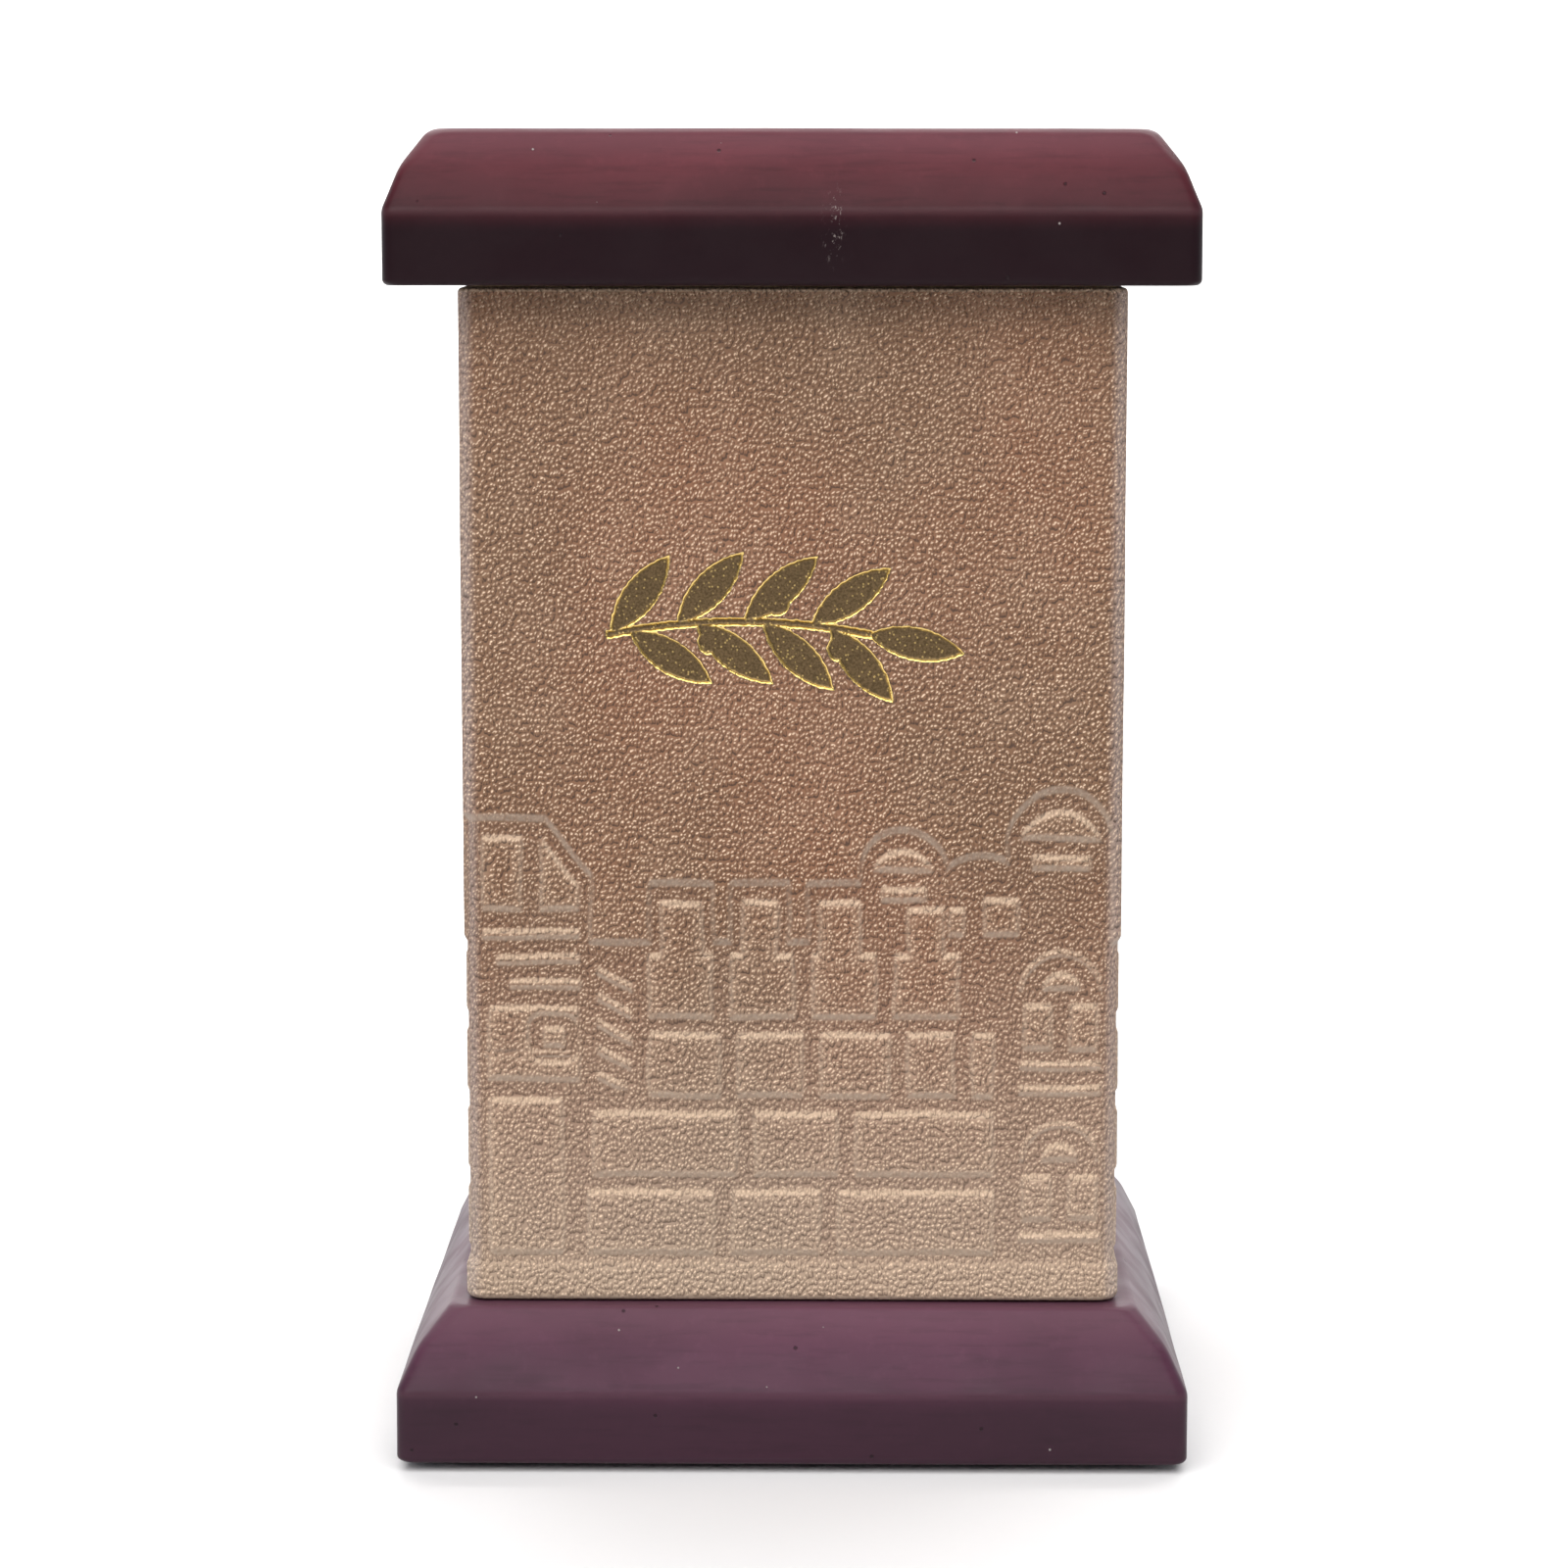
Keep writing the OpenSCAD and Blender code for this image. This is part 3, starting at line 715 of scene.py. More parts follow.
def leather_height(s, z, leather, body):
    """How far the leather's face stands out from its path at (s, z): pressed ground, raised
    stones with crowned faces, the stamped sprig, rolled edges and a slight wander."""
    up = z - LEATHER_LOW.z
    ground, stones = town(s, up, body)
    press = swell(ground, SLOPE_OUT)
    raised = swell(np.maximum(stones, ground + 0.3 * MM), SLOPE_IN)
    crown = swell(stones, 2.8 * MM)
    height = leather.relief * (-press + press * (0.72 * raised + 0.25 * crown))
    on_front = np.abs(s) < body.front_end
    height = height + np.where(on_front, stamp(sprig_distance(s, z), leather.deboss), 0)
    roll = leather.edge_roll
    for gap, radius in ((up + FOOT_DROP, roll), (LEATHER_HIGH.z - z, roll * 0.7)):
        t = np.clip(1 - gap / radius, 0, 1)
        height = height - radius * (1 - np.sqrt(1 - t * t)) * 0.9
    wander = ripple(s, 0 * z, z, 34 * MM, 40) * 0.05 * MM + ripple(s, 0 * z, z, 9 * MM, 41) * 0.012 * MM
    return height + wander + FACE_PROUD


def spaced(marks):
    """Grid lines through marks of (place, step): evenly spaced by about step up to the next."""
    parts = []
    for (a, step), (b, _) in zip(marks, marks[1:]):
        n = max(1, round((b - a) / step))
        parts.append(np.linspace(a, b, n, endpoint=False))
    return np.concatenate([*parts, [marks[-1][0]]])


def corner_highlight_mask(s, body):
    """1 along the crown of each upright corner, fading to 0 on the flats beside it."""
    t = np.abs(s)
    half = pi * body.r / 4
    away = np.minimum(np.abs(t - body.front_end - half), np.abs(t - body.side_end - half))
    return swell(away - 1.5 * MM, 1.5 * MM)


def leather_piece(name, s_lines, z_lines, leather, body):
    """A closed piece of leather: a dense outer face over grid lines in path length and height,
    four edge walls, and a plain inner face against the panels."""
    s, z = np.meshgrid(s_lines, z_lines)
    out = leather_height(s, z, leather, body)
    x, y = body.place(s, out)
    face = np.stack([x, y, z], -1)
    rows, columns = s.shape
    # how the face leans: up-facing slopes get a painted highlight; down-facing ones are pressed smooth
    # and, with the sideways ones, get a painted grey reflection
    lean = np.gradient(out, z_lines, axis=0)
    across = np.gradient(out, s_lines, axis=1)
    ground, stones = town(s, z - LEATHER_LOW.z, body)
    layers = {
        "lit": np.clip(-lean * 1.9, 0, 1) * np.where(z - LEATHER_LOW.z < 5 * MM, 0.3, 1),
        "shy": np.clip(lean * 1.9, 0, 1),
        "flank": np.clip(np.abs(across) * 1.6, 0, 1),
        "sunk": swell(ground, SLOPE_OUT) * (1 - swell(stones, SLOPE_IN)),
        "crown": swell(np.maximum(stones, ground), 0.5 * MM) * (1 - swell(stones, 2.4 * MM)),
        "corner": corner_highlight_mask(s, body),
        "stamped": np.where(
            np.abs(s) < body.front_end, np.clip(1 - sprig_distance(s, z) / (0.5 * MM), 0, 1), 0
        ),
    }
    # the edge, counter-clockwise seen from outside
    index = np.arange(rows * columns).reshape(rows, columns)
    rim = np.concatenate(
        [index[0, :-1], index[:-1, -1], index[-1, :0:-1], index[:0:-1, 0]]
    )
    rim_s, rim_z = s.ravel()[rim], z.ravel()[rim]
    ix, iy = body.place(rim_s, np.full(len(rim), -leather.thickness + 0.01 * MM))
    inner = np.stack([ix, iy, rim_z], -1)
    points = np.concatenate([face.reshape(-1, 3), inner])
    first = rows * columns
    n = len(rim)
    k = np.arange(n)
    k2 = (k + 1) % n
    walls = np.stack([rim[k2], rim[k], first + k, first + k2], -1)
    # inner face: one strip of quads between the lower and the upper rim, with the long end
    # polygons taking in the upright rims
    bottom = first + np.arange(columns)
    right_end = columns - 1
    top = first + right_end + (rows - 1) + np.arange(columns)[::-1]
    top = np.where(top >= first + n, first, top)
    left_side = first + np.arange(2 * (columns - 1) + (rows - 1), n)
    right_side = first + np.arange(right_end, right_end + rows)
    strips = np.stack([bottom[1:-2], top[1:-2], top[2:-1], bottom[2:-1]], -1)
    left_polygon = np.concatenate([[bottom[1], bottom[0]], left_side[::-1], [top[1]]])
    left_polygon = left_polygon[np.sort(np.unique(left_polygon, return_index=True)[1])]
    right_polygon = np.concatenate([[bottom[-2]], [top[-2]], right_side[::-1]])
    right_polygon = right_polygon[np.sort(np.unique(right_polygon, return_index=True)[1])]
    quads = np.concatenate([grid_quads(rows, columns), walls, strips])
    full = {
        key: np.concatenate([value.ravel(), value.ravel()[rim]]) for key, value in layers.items()
    }
    hide = np.stack([s, z, 0 * s], -1).reshape(-1, 3)
    full["hide"] = np.concatenate([hide, hide[rim]])
    return make_piece(name, points, quads, [left_polygon, right_polygon], radians(62), full)


def foil_piece(name, leather, body):
    """The foil: a fine grid over the sprig, cut along its outline. Every point just outside is
    moved onto the outline along the distance's slope, and heights follow the stamp."""
    step = 0.11 * MM
    rim = 0.06 * MM
    xs = np.arange(FOIL_LOW.x - 0.4 * MM, FOIL_HIGH.x + 0.4 * MM, step)
    zs = np.arange(FOIL_LOW.z - 0.4 * MM, FOIL_HIGH.z + 0.4 * MM, step)
    x, z = np.meshgrid(xs, zs)
    distance = sprig_distance(x, z) - rim
    corners = np.stack([distance[:-1, :-1], distance[1:, :-1], distance[:-1, 1:], distance[1:, 1:]])
    cell = (corners < 0).all(0) | (corners.min(0) < -0.3 * step)
    rows, columns = x.shape
    quads = grid_quads(rows, columns)[cell.ravel()]
    used = np.unique(quads)
    for _ in range(3):
        d = sprig_distance(x, z) - rim
        e = 0.02 * MM
        gx = (sprig_distance(x + e, z) - rim - d) / e
        gz = (sprig_distance(x, z + e) - rim - d) / e
        size = np.maximum(gx * gx + gz * gz, 0.05)
        move = np.where(d > 0, d, 0)
        x, z = x - move * gx / size, z - move * gz / size
    d = sprig_distance(x, z)
    out = leather_height(x, z, leather, body) + 0.035 * MM
    px, py = body.place(x, out)
    points = np.stack([px, py, z], -1).reshape(-1, 3)[used]
    number = np.zeros(rows * columns, int)
    number[used] = np.arange(len(used))
    quads = number[quads]
    edges = np.concatenate([quads[:, [0, 1]], quads[:, [1, 2]], quads[:, [2, 3]], quads[:, [3, 0]]])
    key = np.sort(edges, 1) @ [len(used), 1]
    _, first, count = np.unique(key, return_index=True, return_counts=True)
    border = edges[first[count == 1]]
    back = points + [0, 0.06 * MM, 0]
    n = len(points)
    walls = np.stack([border[:, 1], border[:, 0], border[:, 0] + n, border[:, 1] + n], -1)
    all_quads = np.concatenate([quads, quads[:, ::-1] + n, walls])
    inner = np.clip(-d.ravel()[used] / (0.3 * MM), 0, 1)
    return make_piece(
        name,
        np.concatenate([points, back]),
        all_quads,
        crease=radians(70),
        layers={"floor": np.concatenate([inner, inner])},
    )


# ---------------------------------------------------------------- materials


class Nodes:
    """Short calls for building one material's nodes."""

    def __init__(self, name):
        self.material = bpy.data.materials.new(name)
        self.material.use_nodes = True
        self.tree = self.material.node_tree
        self.shader = self.tree.nodes["Principled BSDF"]
        self.coordinate = self.tree.nodes.new("ShaderNodeTexCoord").outputs["Object"]

    def new(self, kind, **values):
        """A node of the kind ShaderNode + kind, with its settings."""
        node = self.tree.nodes.new("ShaderNode" + kind)
        for key, value in values.items():
            setattr(node, key, value)
        return node

    def link(self, value, socket):
        """Link a socket, or set a constant."""
        if isinstance(value, bpy.types.NodeSocket):
            self.tree.links.new(value, socket)
        else:
            socket.default_value = value

    def placed(self, scale=(1, 1, 1), turn=(0, 0, 0), shift=(0, 0, 0)):
        """The object's own coordinates, scaled, turned and shifted."""
        node = self.new("Mapping")
        self.link(self.coordinate, node.inputs["Vector"])
        node.inputs["Scale"].default_value = scale
        node.inputs["Rotation"].default_value = turn
        node.inputs["Location"].default_value = shift
        return node.outputs["Vector"]

    def noise(self, vector, size, detail=2.0, rough=0.5, distortion=0.0):
        """Noise whose features are about size metres across."""
        node = self.new("TexNoise")
        self.link(vector, node.inputs["Vector"])
        node.inputs["Scale"].default_value = 1 / size
        node.inputs["Detail"].default_value = detail
        node.inputs["Roughness"].default_value = rough
        node.inputs["Distortion"].default_value = distortion
        return node.outputs["Fac"]

    def cells(self, vector, size):
        """Distance to the nearest of points spaced about size metres apart, in spacings."""
        node = self.new("TexVoronoi", feature="F1")
        self.link(vector, node.inputs["Vector"])
        node.inputs["Scale"].default_value = 1 / size
        return node.outputs["Distance"]

    def ramp(self, value, low, high, start=0.0, end=1.0):
        """A smooth step from start at low to end at high."""
        node = self.new("MapRange", interpolation_type="SMOOTHSTEP")
        self.link(value, node.inputs["Value"])
        for key, number in zip(("From Min", "From Max", "To Min", "To Max"), (low, high, start, end)):
            self.link(number, node.inputs[key])
        return node.outputs["Result"]

    def math(self, operation, a, b=0.0, clamp=False):
        """One sum on two values."""
        node = self.new("Math", operation=operation, use_clamp=clamp)
        self.link(a, node.inputs[0])
        self.link(b, node.inputs[1])
        return node.outputs[0]

    def mix(self, factor, a, b):
        """Colour a, going over to colour b as factor goes from 0 to 1."""
        node = self.new("Mix", data_type="RGBA")
        self.link(factor, node.inputs["Factor"])
        self.link(a if isinstance(a, bpy.types.NodeSocket) else (*a, 1), node.inputs["A"])
        self.link(b if isinstance(b, bpy.types.NodeSocket) else (*b, 1), node.inputs["B"])
        return node.outputs["Result"]

    def value(self, layer):
        """A named per-point value of the mesh."""
        node = self.new("Attribute", attribute_name=layer, attribute_type="GEOMETRY")
        return node.outputs["Fac"]

    def axis(self, letter):
        """One of the object's own coordinates, in metres."""
        node = self.new("SeparateXYZ")
        self.link(self.coordinate, node.inputs[0])
        return node.outputs[letter]

    def bump(self, height, distance, strength=1.0, before=None):
        """A normal that makes height stand out by distance, over the one before it."""
        node = self.new("Bump")
        self.link(height, node.inputs["Height"])
        node.inputs["Distance"].default_value = distance
        self.link(strength, node.inputs["Strength"])
        if before is not None:
            self.link(before, node.inputs["Normal"])
        return node.outputs["Normal"]

    def finish(self, colour=None, roughness=None, normal=None, **constants):
        """Link the main sockets, set the others and return the material."""
        for value, socket in (
            (colour, "Base Color"),
            (roughness, "Roughness"),
            (normal, "Normal"),
        ):
            if value is not None:
                self.link(value, self.shader.inputs[socket])
        for socket, value in constants.items():
            self.shader.inputs[socket.replace("_", " ")].default_value = value
        return self.material


TOP_SHEEN = (0.155, 0.078, 0.098)
ARRIS_HIGHLIGHT = (0.16, 0.09, 0.10)
DUST_NIB = (0.5, 0.46, 0.44)
PIT_SHADOW = (0.012, 0.006, 0.008)
SCUFF_WHITE = (0.42, 0.36, 0.34)


def lacquered_wood(name, colour, dark, seed, edge, edge_shading, sheen_top, scuff=None):
    """Mahogany under satin lacquer: fine streaks along X, cloudy darker figure, dust nibs, small
    pits, painted shade over the lower slope and on the upright edge up to the height edge, painted
    shade towards the ends, a painted sheen over the top of the slopes up to the height sheen_top, a
    painted highlight along the arris and, if given, one pale scuff about a place."""
    n = Nodes(name)
    shift = (seed * 0.37, seed * 0.11, seed * 0.53)
    streak = n.noise(n.placed((0.12, 1, 1), shift=shift), 0.9 * MM, 4, 0.6)
    cloud = n.noise(n.placed((0.6, 1, 1), shift=shift), 17 * MM, 3, 0.55, 0.6)
    mottle = n.noise(n.placed(shift=shift), 1.6 * MM, 3, 0.6)
    depth = n.ramp(cloud, 0.36, 0.72, 0.0, 0.3)
    tone = n.mix(depth, colour, dark)
    tone = n.mix(n.ramp(streak, 0.45, 0.72, 0, 0.22), tone, dark)
    lighter = tuple(min(1, 1.5 * c + 0.006) for c in colour)
    tone = n.mix(n.ramp(mottle, 0.5, 0.75, 0, 0.14), tone, lighter)
    level = n.axis("Z")
    # painted shade: the slope darkens towards the arris, where its curve turns away from the overhead
    # light
    slope_shade = n.ramp(level, edge + 8.5 * MM, edge + 0.2 * MM, 0, edge_shading * 0.55)
    tone = n.mix(slope_shade, tone, dark)
    # painted shade: the upright edge is darker, as it faces away from the overhead light and reflects the
    # dim front
    shadowed = n.ramp(level, edge + 1.6 * MM, edge - 2.6 * MM, 0, edge_shading)
    tone = n.mix(shadowed, tone, dark)
    sideways = n.math("ABSOLUTE", n.axis("X"))
    # painted shade: darker towards the ends, away from the soft highlight in the middle
    tone = n.mix(n.ramp(sideways, 12 * MM, 42 * MM, 0, 0.2), tone, dark)
    # painted sheen: the top of each slope is lighter and greyer where the overhead light reflects
    tone = n.mix(n.ramp(level, sheen_top - 5 * MM, sheen_top, 0, 0.32), tone, TOP_SHEEN)
    # painted highlight: a thin pale line along the arris between the slope and the upright edge
    above = n.ramp(level, edge - 0.9 * MM, edge - 0.3 * MM)
    below = n.ramp(level, edge + 0.5 * MM, edge - 0.1 * MM)
    rub = n.math("MULTIPLY", above, below)
    tone = n.mix(n.math("MULTIPLY", rub, 0.11), tone, ARRIS_HIGHLIGHT)
    nib_spot = n.cells(n.placed(shift=shift), 4.3 * MM)
    nib = n.ramp(nib_spot, 0.042, 0.018)
    pit_spot = n.cells(n.placed(shift=(shift[2], shift[0], shift[1])), 4.6 * MM)
    pit = n.ramp(pit_spot, 0.06, 0.03)
    tone = n.mix(n.math("MULTIPLY", nib, 0.55), tone, DUST_NIB)
    tone = n.mix(n.math("MULTIPLY", pit, 0.7), tone, PIT_SHADOW)
    rough = n.ramp(n.noise(n.placed(shift=shift), 7 * MM, 3), 0.3, 0.7, 0.34, 0.46)
    if scuff is not None:
        place, reach = scuff
        offset = n.new("VectorMath", operation="SUBTRACT")
        n.link(n.coordinate, offset.inputs[0])
        offset.inputs[1].default_value = place
        turned = n.new("Mapping")
        n.link(offset.outputs["Vector"], turned.inputs["Vector"])
        turned.inputs["Rotation"].default_value = (0, radians(-38), 0)
        turned.inputs["Scale"].default_value = (3.4, 1, 1)
        away = n.new("VectorMath", operation="LENGTH")
        n.link(turned.outputs["Vector"], away.inputs[0])
        near = n.ramp(away.outputs["Value"], reach, reach * 0.1)
        thread = n.noise(n.placed((1.2, 1, 0.6), (0, radians(30), 0)), 0.55 * MM, 5, 0.8)
        scratch = n.math("MULTIPLY", near, n.ramp(thread, 0.56, 0.66))
        tone = n.mix(n.math("MULTIPLY", scratch, 0.75), tone, SCUFF_WHITE)
        rough = n.math("ADD", rough, n.math("MULTIPLY", scratch, 0.25))
    peel = n.noise(n.placed(shift=shift), 0.55 * MM, 2)
    pores = n.noise(n.placed((0.1, 1, 1), shift=shift), 0.35 * MM, 3)
    normal = n.bump(peel, 0.02 * MM, 0.5)
    normal = n.bump(pores, 0.015 * MM, 0.35, normal)
    normal = n.bump(n.math("SUBTRACT", nib, pit), 0.12 * MM, 0.8, normal)
    return n.finish(
        tone,
        rough,
        normal,
        Specular_IOR_Level=0.11,
        Coat_Weight=0.05,
        Coat_Roughness=0.3,
        Coat_IOR=1.5,
    )


CORNER_HIGHLIGHT = (0.44, 0.37, 0.35)
PEBBLE_SHADOW_BROWN = (0.055, 0.027, 0.016)
PRESSED_BROWN = (0.15, 0.082, 0.058)
STAMP_SHADOW = (0.075, 0.045, 0.026)


def pebbled_leather(name, leather):
    """Bronzed leather. Small pebbles cover the hide, each with a painted pale highlight on its upper
    side and a painted shadow under it. The lower part is painted paler and greyer for light bounced
    from the floor, the emboss's upward slopes get a painted pale highlight with crowded pebbles,
    its downward slopes are pressed smooth with a painted grey reflection, and the upright corners
    get a painted pale highlight."""
    n = Nodes(name)
    hide = n.new("Attribute", attribute_name="hide", attribute_type="GEOMETRY").outputs["Vector"]
    size = leather.grain
    wobble = n.new("TexNoise", noise_dimensions="2D")
    n.link(hide, wobble.inputs["Vector"])
    wobble.inputs["Scale"].default_value = 1 / (1.9 * MM)
    wobble.inputs["Detail"].default_value = 1.5
    centred = n.new("VectorMath", operation="SUBTRACT")
    n.link(wobble.outputs["Color"], centred.inputs[0])
    centred.inputs[1].default_value = (0.5, 0.5, 0.5)
    warped = n.new("VectorMath", operation="MULTIPLY_ADD")
    n.link(centred.outputs["Vector"], warped.inputs[0])
    warped.inputs[1].default_value = (1.3 * size,) * 3
    n.link(hide, warped.inputs[2])

    def pebbles(lift):
        """Distance to the nearest pebble's middle, read lift metres lower on the hide."""
        moved = n.new("Mapping")
        n.link(warped.outputs["Vector"], moved.inputs["Vector"])
        moved.inputs["Location"].default_value = (lift * 0.5, -lift, 0)
        moved.inputs["Scale"].default_value = (1.2, 0.82, 1)
        cell = n.new("TexVoronoi", feature="F1", voronoi_dimensions="2D")
        n.link(moved.outputs["Vector"], cell.inputs["Vector"])
        cell.inputs["Scale"].default_value = 1 / size
        cell.inputs["Randomness"].default_value = 0.9
        return cell.outputs["Distance"], cell.outputs["Color"]

    here, shade = pebbles(0.0)
    below, _ = pebbles(0.16 * MM)
    dome = n.ramp(here, 0.62, 0.10)
    # painted highlight on each pebble's upper side, and painted shadow under it, found by reading the
    # pebble a little lower
    rise = n.math("SUBTRACT", here, below)
    pebble_highlight = n.math("MULTIPLY", n.ramp(rise, 0.02, 0.2), n.ramp(here, 0.60, 0.34), clamp=True)
    crease = n.math("MULTIPLY", n.ramp(rise, -0.02, -0.2), n.ramp(here, 0.25, 0.5), clamp=True)
    fine = n.noise(hide, size * 0.3, 3, 0.65)
    each = n.new("SeparateColor")
    n.link(shade, each.inputs[0])
    luck = n.ramp(each.outputs[0], 0.0, 1.0, 0.45, 1.0)

    height = n.axis("Z")
    warm = n.noise(n.placed((1, 1, 0.6)), 30 * MM, 2, 0.4)
    cloud = n.noise(n.placed((1, 1, 0.8)), 7 * MM, 3, 0.55)
    foot = n.ramp(height, LEATHER_LOW.z + 50 * MM, LEATHER_LOW.z + 0 * MM)
    pale = leather.pale_colour[:]
    field = n.mix(n.ramp(warm, 0.38, 0.66), leather.field_colour[:], leather.red_colour[:])
    field = n.mix(n.ramp(cloud, 0.4, 0.8, 0, 0.07), field, pale)
    # painted light: towards the bottom the leather turns greyer and paler, as light bounced from the floor
    # reaches it
    field = n.mix(n.math("MULTIPLY", foot, 0.5), field, tuple(0.9 * c + 0.02 for c in leather.reflected_grey))
    field = n.mix(n.math("MULTIPLY", foot, 0.16), field, pale)
    # painted light: the lowest strip is paler still
    strip = n.ramp(height, LEATHER_LOW.z + 9 * MM, LEATHER_LOW.z + 1 * MM)
    field = n.mix(n.math("MULTIPLY", strip, 0.22), field, pale)
    # painted highlight: a pale line down each rounded upright corner
    field = n.mix(n.math("MULTIPLY", n.value("corner"), 0.4), field, CORNER_HIGHLIGHT)
    lit, shy, sunk = n.value("lit"), n.value("shy"), n.value("sunk")
    flank, crown = n.value("flank"), n.value("crown")
    field = n.mix(n.math("MULTIPLY", crown, 0.2), field, pale)
    # painted highlight on the emboss's up-facing slopes
    field = n.mix(n.ramp(lit, 0.1, 0.8, 0, 0.42), field, pale)
    smooth = n.math("MAXIMUM", n.ramp(shy, 0.15, 0.7, 0, 0.62), n.ramp(flank, 0.4, 1, 0, 0.3))
    keep = n.math("SUBTRACT", 1.0, smooth)
    depth = n.math("MULTIPLY", keep, n.ramp(height, LEATHER_LOW.z, LEATHER_LOW.z + 45 * MM, 0.55, 0.85))
    # painted shadow under the pebbles
    deep = n.mix(n.math("MULTIPLY", crease, depth), field, PEBBLE_SHADOW_BROWN)
    # painted highlight on the pebbles' upper sides
    highlit = n.math("MULTIPLY", n.math("MULTIPLY", pebble_highlight, luck), n.math("MULTIPLY", keep, 0.92))
    bright = tuple(min(1, 1.25 * c) for c in pale)
    tone = n.mix(highlit, deep, bright)
    tone = n.mix(n.ramp(sunk, 0.35, 0.95, 0, 0.13), tone, PRESSED_BROWN)
    drag = n.noise(n.placed((1, 1, 0.28)), 0.42 * MM, 3, 0.6)
    drawn = n.ramp(drag, 0.3, 0.7, 0.45, 1.0)
    # painted reflection: down-facing and sideways slopes turn grey where they reflect the pale floor;
    # painted highlight on the up-facing slopes
    tone = n.mix(n.math("MULTIPLY", n.ramp(shy, 0.08, 0.8, 0, 0.66), drawn), tone, leather.reflected_grey[:])
    tone = n.mix(n.math("MULTIPLY", n.ramp(flank, 0.3, 1.0, 0, 0.3), drawn), tone, leather.reflected_grey[:])
    tone = n.mix(n.math("MULTIPLY", n.ramp(lit, 0.3, 1.0, 0, 0.3), drawn), tone, pale)
    tone = n.mix(n.ramp(n.value("stamped"), 0.35, 0.95, 0, 0.6), tone, STAMP_SHADOW)

    normal = n.bump(dome, 0.15 * MM, n.math("MULTIPLY", keep, 1.0))
    normal = n.bump(fine, 0.035 * MM, n.math("MULTIPLY", keep, 0.6), normal)
    rough = n.ramp(pebble_highlight, 0, 1, 0.62, 0.46)
    return n.finish(
        tone,
        rough,
        normal,
        Specular_IOR_Level=0.4,
        Sheen_Weight=0.08,
        Sheen_Roughness=0.45,
        Sheen_Tint=(0.85, 0.72, 0.6, 1),
    )


def gold_leaf(name, leather):
    """Hot-stamped foil: fine crinkle, speckles where the grain shows through, and a painted dark
    reflection over its floor inside the bright outline.
    """
    n = Nodes(name)
    fine = n.noise(n.coordinate, 0.28 * MM, 3, 0.65)
    speck = n.ramp(n.cells(n.coordinate, 0.5 * MM), 0.30, 0.12)
    floor = n.value("floor")
    # painted reflection: the foil's floor is painted dark, as it reflects the dim front
    dark_reflection = n.mix(n.ramp(fine, 0.4, 0.62), (0.15, 0.10, 0.05), (0.09, 0.06, 0.03))
    bright = leather.gold_colour[:]
    tone = n.mix(n.math("MULTIPLY", speck, 0.38), dark_reflection, bright)
    tone = n.mix(n.ramp(floor, 0.9, 0.35), tone, bright)
    rough = n.ramp(floor, 0.35, 0.95, 0.22, 0.4)
    normal = n.bump(fine, 0.04 * MM, 0.6)
    normal = n.bump(speck, 0.05 * MM, 0.5, normal)
    return n.finish(tone, rough, normal, Metallic=0.92)


def plain_timber(name, light, dark, along=(1, 0.08, 1)):
    """Planed unfinished wood with its grain along one axis."""
    n = Nodes(name)
    rings = n.noise(n.placed(along), 1.5 * MM, 4, 0.6, 0.4)
    pore = n.noise(n.placed(tuple(a * 2.5 for a in along)), 0.7 * MM, 3, 0.6)
    tone = n.mix(n.ramp(rings, 0.35, 0.7), light, dark)
    tone = n.mix(n.ramp(pore, 0.58, 0.75, 0, 0.5), tone, tuple(0.5 * c for c in dark))
    normal = n.bump(rings, 0.05 * MM, 0.5)
    return n.finish(tone, n.ramp(rings, 0.3, 0.7, 0.55, 0.7), normal)


def fibreboard(name):
    """Pressed board with short pale fibres."""
    n = Nodes(name)
    fibre = n.noise(n.placed((1, 1, 0.3)), 0.6 * MM, 5, 0.7)
    cloud = n.noise(n.coordinate, 9 * MM, 3)
    tone = n.mix(n.ramp(fibre, 0.35, 0.68), (0.40, 0.27, 0.16), (0.55, 0.40, 0.25))
    tone = n.mix(n.ramp(cloud, 0.4, 0.7, 0, 0.35), tone, (0.34, 0.22, 0.13))
    return n.finish(tone, 0.82, n.bump(fibre, 0.06 * MM, 0.6))


def turned_metal(name, colour, rough):
    """Screw metal with fine turning marks and slight tarnish."""
    n = Nodes(name)
    marks = n.noise(n.placed((1, 1, 6)), 0.5 * MM, 3)
    stain = n.noise(n.coordinate, 1.5 * MM, 3)
    tone = n.mix(n.ramp(stain, 0.45, 0.7, 0, 0.5), colour, tuple(0.5 * c for c in colour))
    worn = n.ramp(marks, 0.3, 0.7, rough, rough + 0.18)
    return n.finish(tone, worn, n.bump(marks, 0.02 * MM, 0.4), Metallic=1.0)


def pressed_felt(name):
    """Dark felt with tangled fibres."""
    n = Nodes(name)
    tangle = n.noise(n.coordinate, 0.35 * MM, 6, 0.75, 1.2)
    tone = n.mix(n.ramp(tangle, 0.35, 0.7), (0.010, 0.014, 0.011), (0.05, 0.062, 0.052))
    return n.finish(
        tone, 0.95, n.bump(tangle, 0.18 * MM, 0.9), Sheen_Weight=0.6, Sheen_Roughness=0.5
    )


def matte_floor(name, colour):
    """Pale seamless studio paper with a faint tooth."""
    n = Nodes(name)
    tooth = n.noise(n.coordinate, 1.2 * MM, 3)
    tone = n.mix(n.ramp(tooth, 0.3, 0.7, 0, 0.05), colour, tuple(0.93 * c for c in colour))
    return n.finish(tone, 0.8, n.bump(tooth, 0.02 * MM, 0.3), Specular_IOR_Level=0.2)


def wear(piece, material):
    """Give a piece this one material."""
    piece.data.materials.clear()
    piece.data.materials.append(material)


# ---------------------------------------------------------------- operators


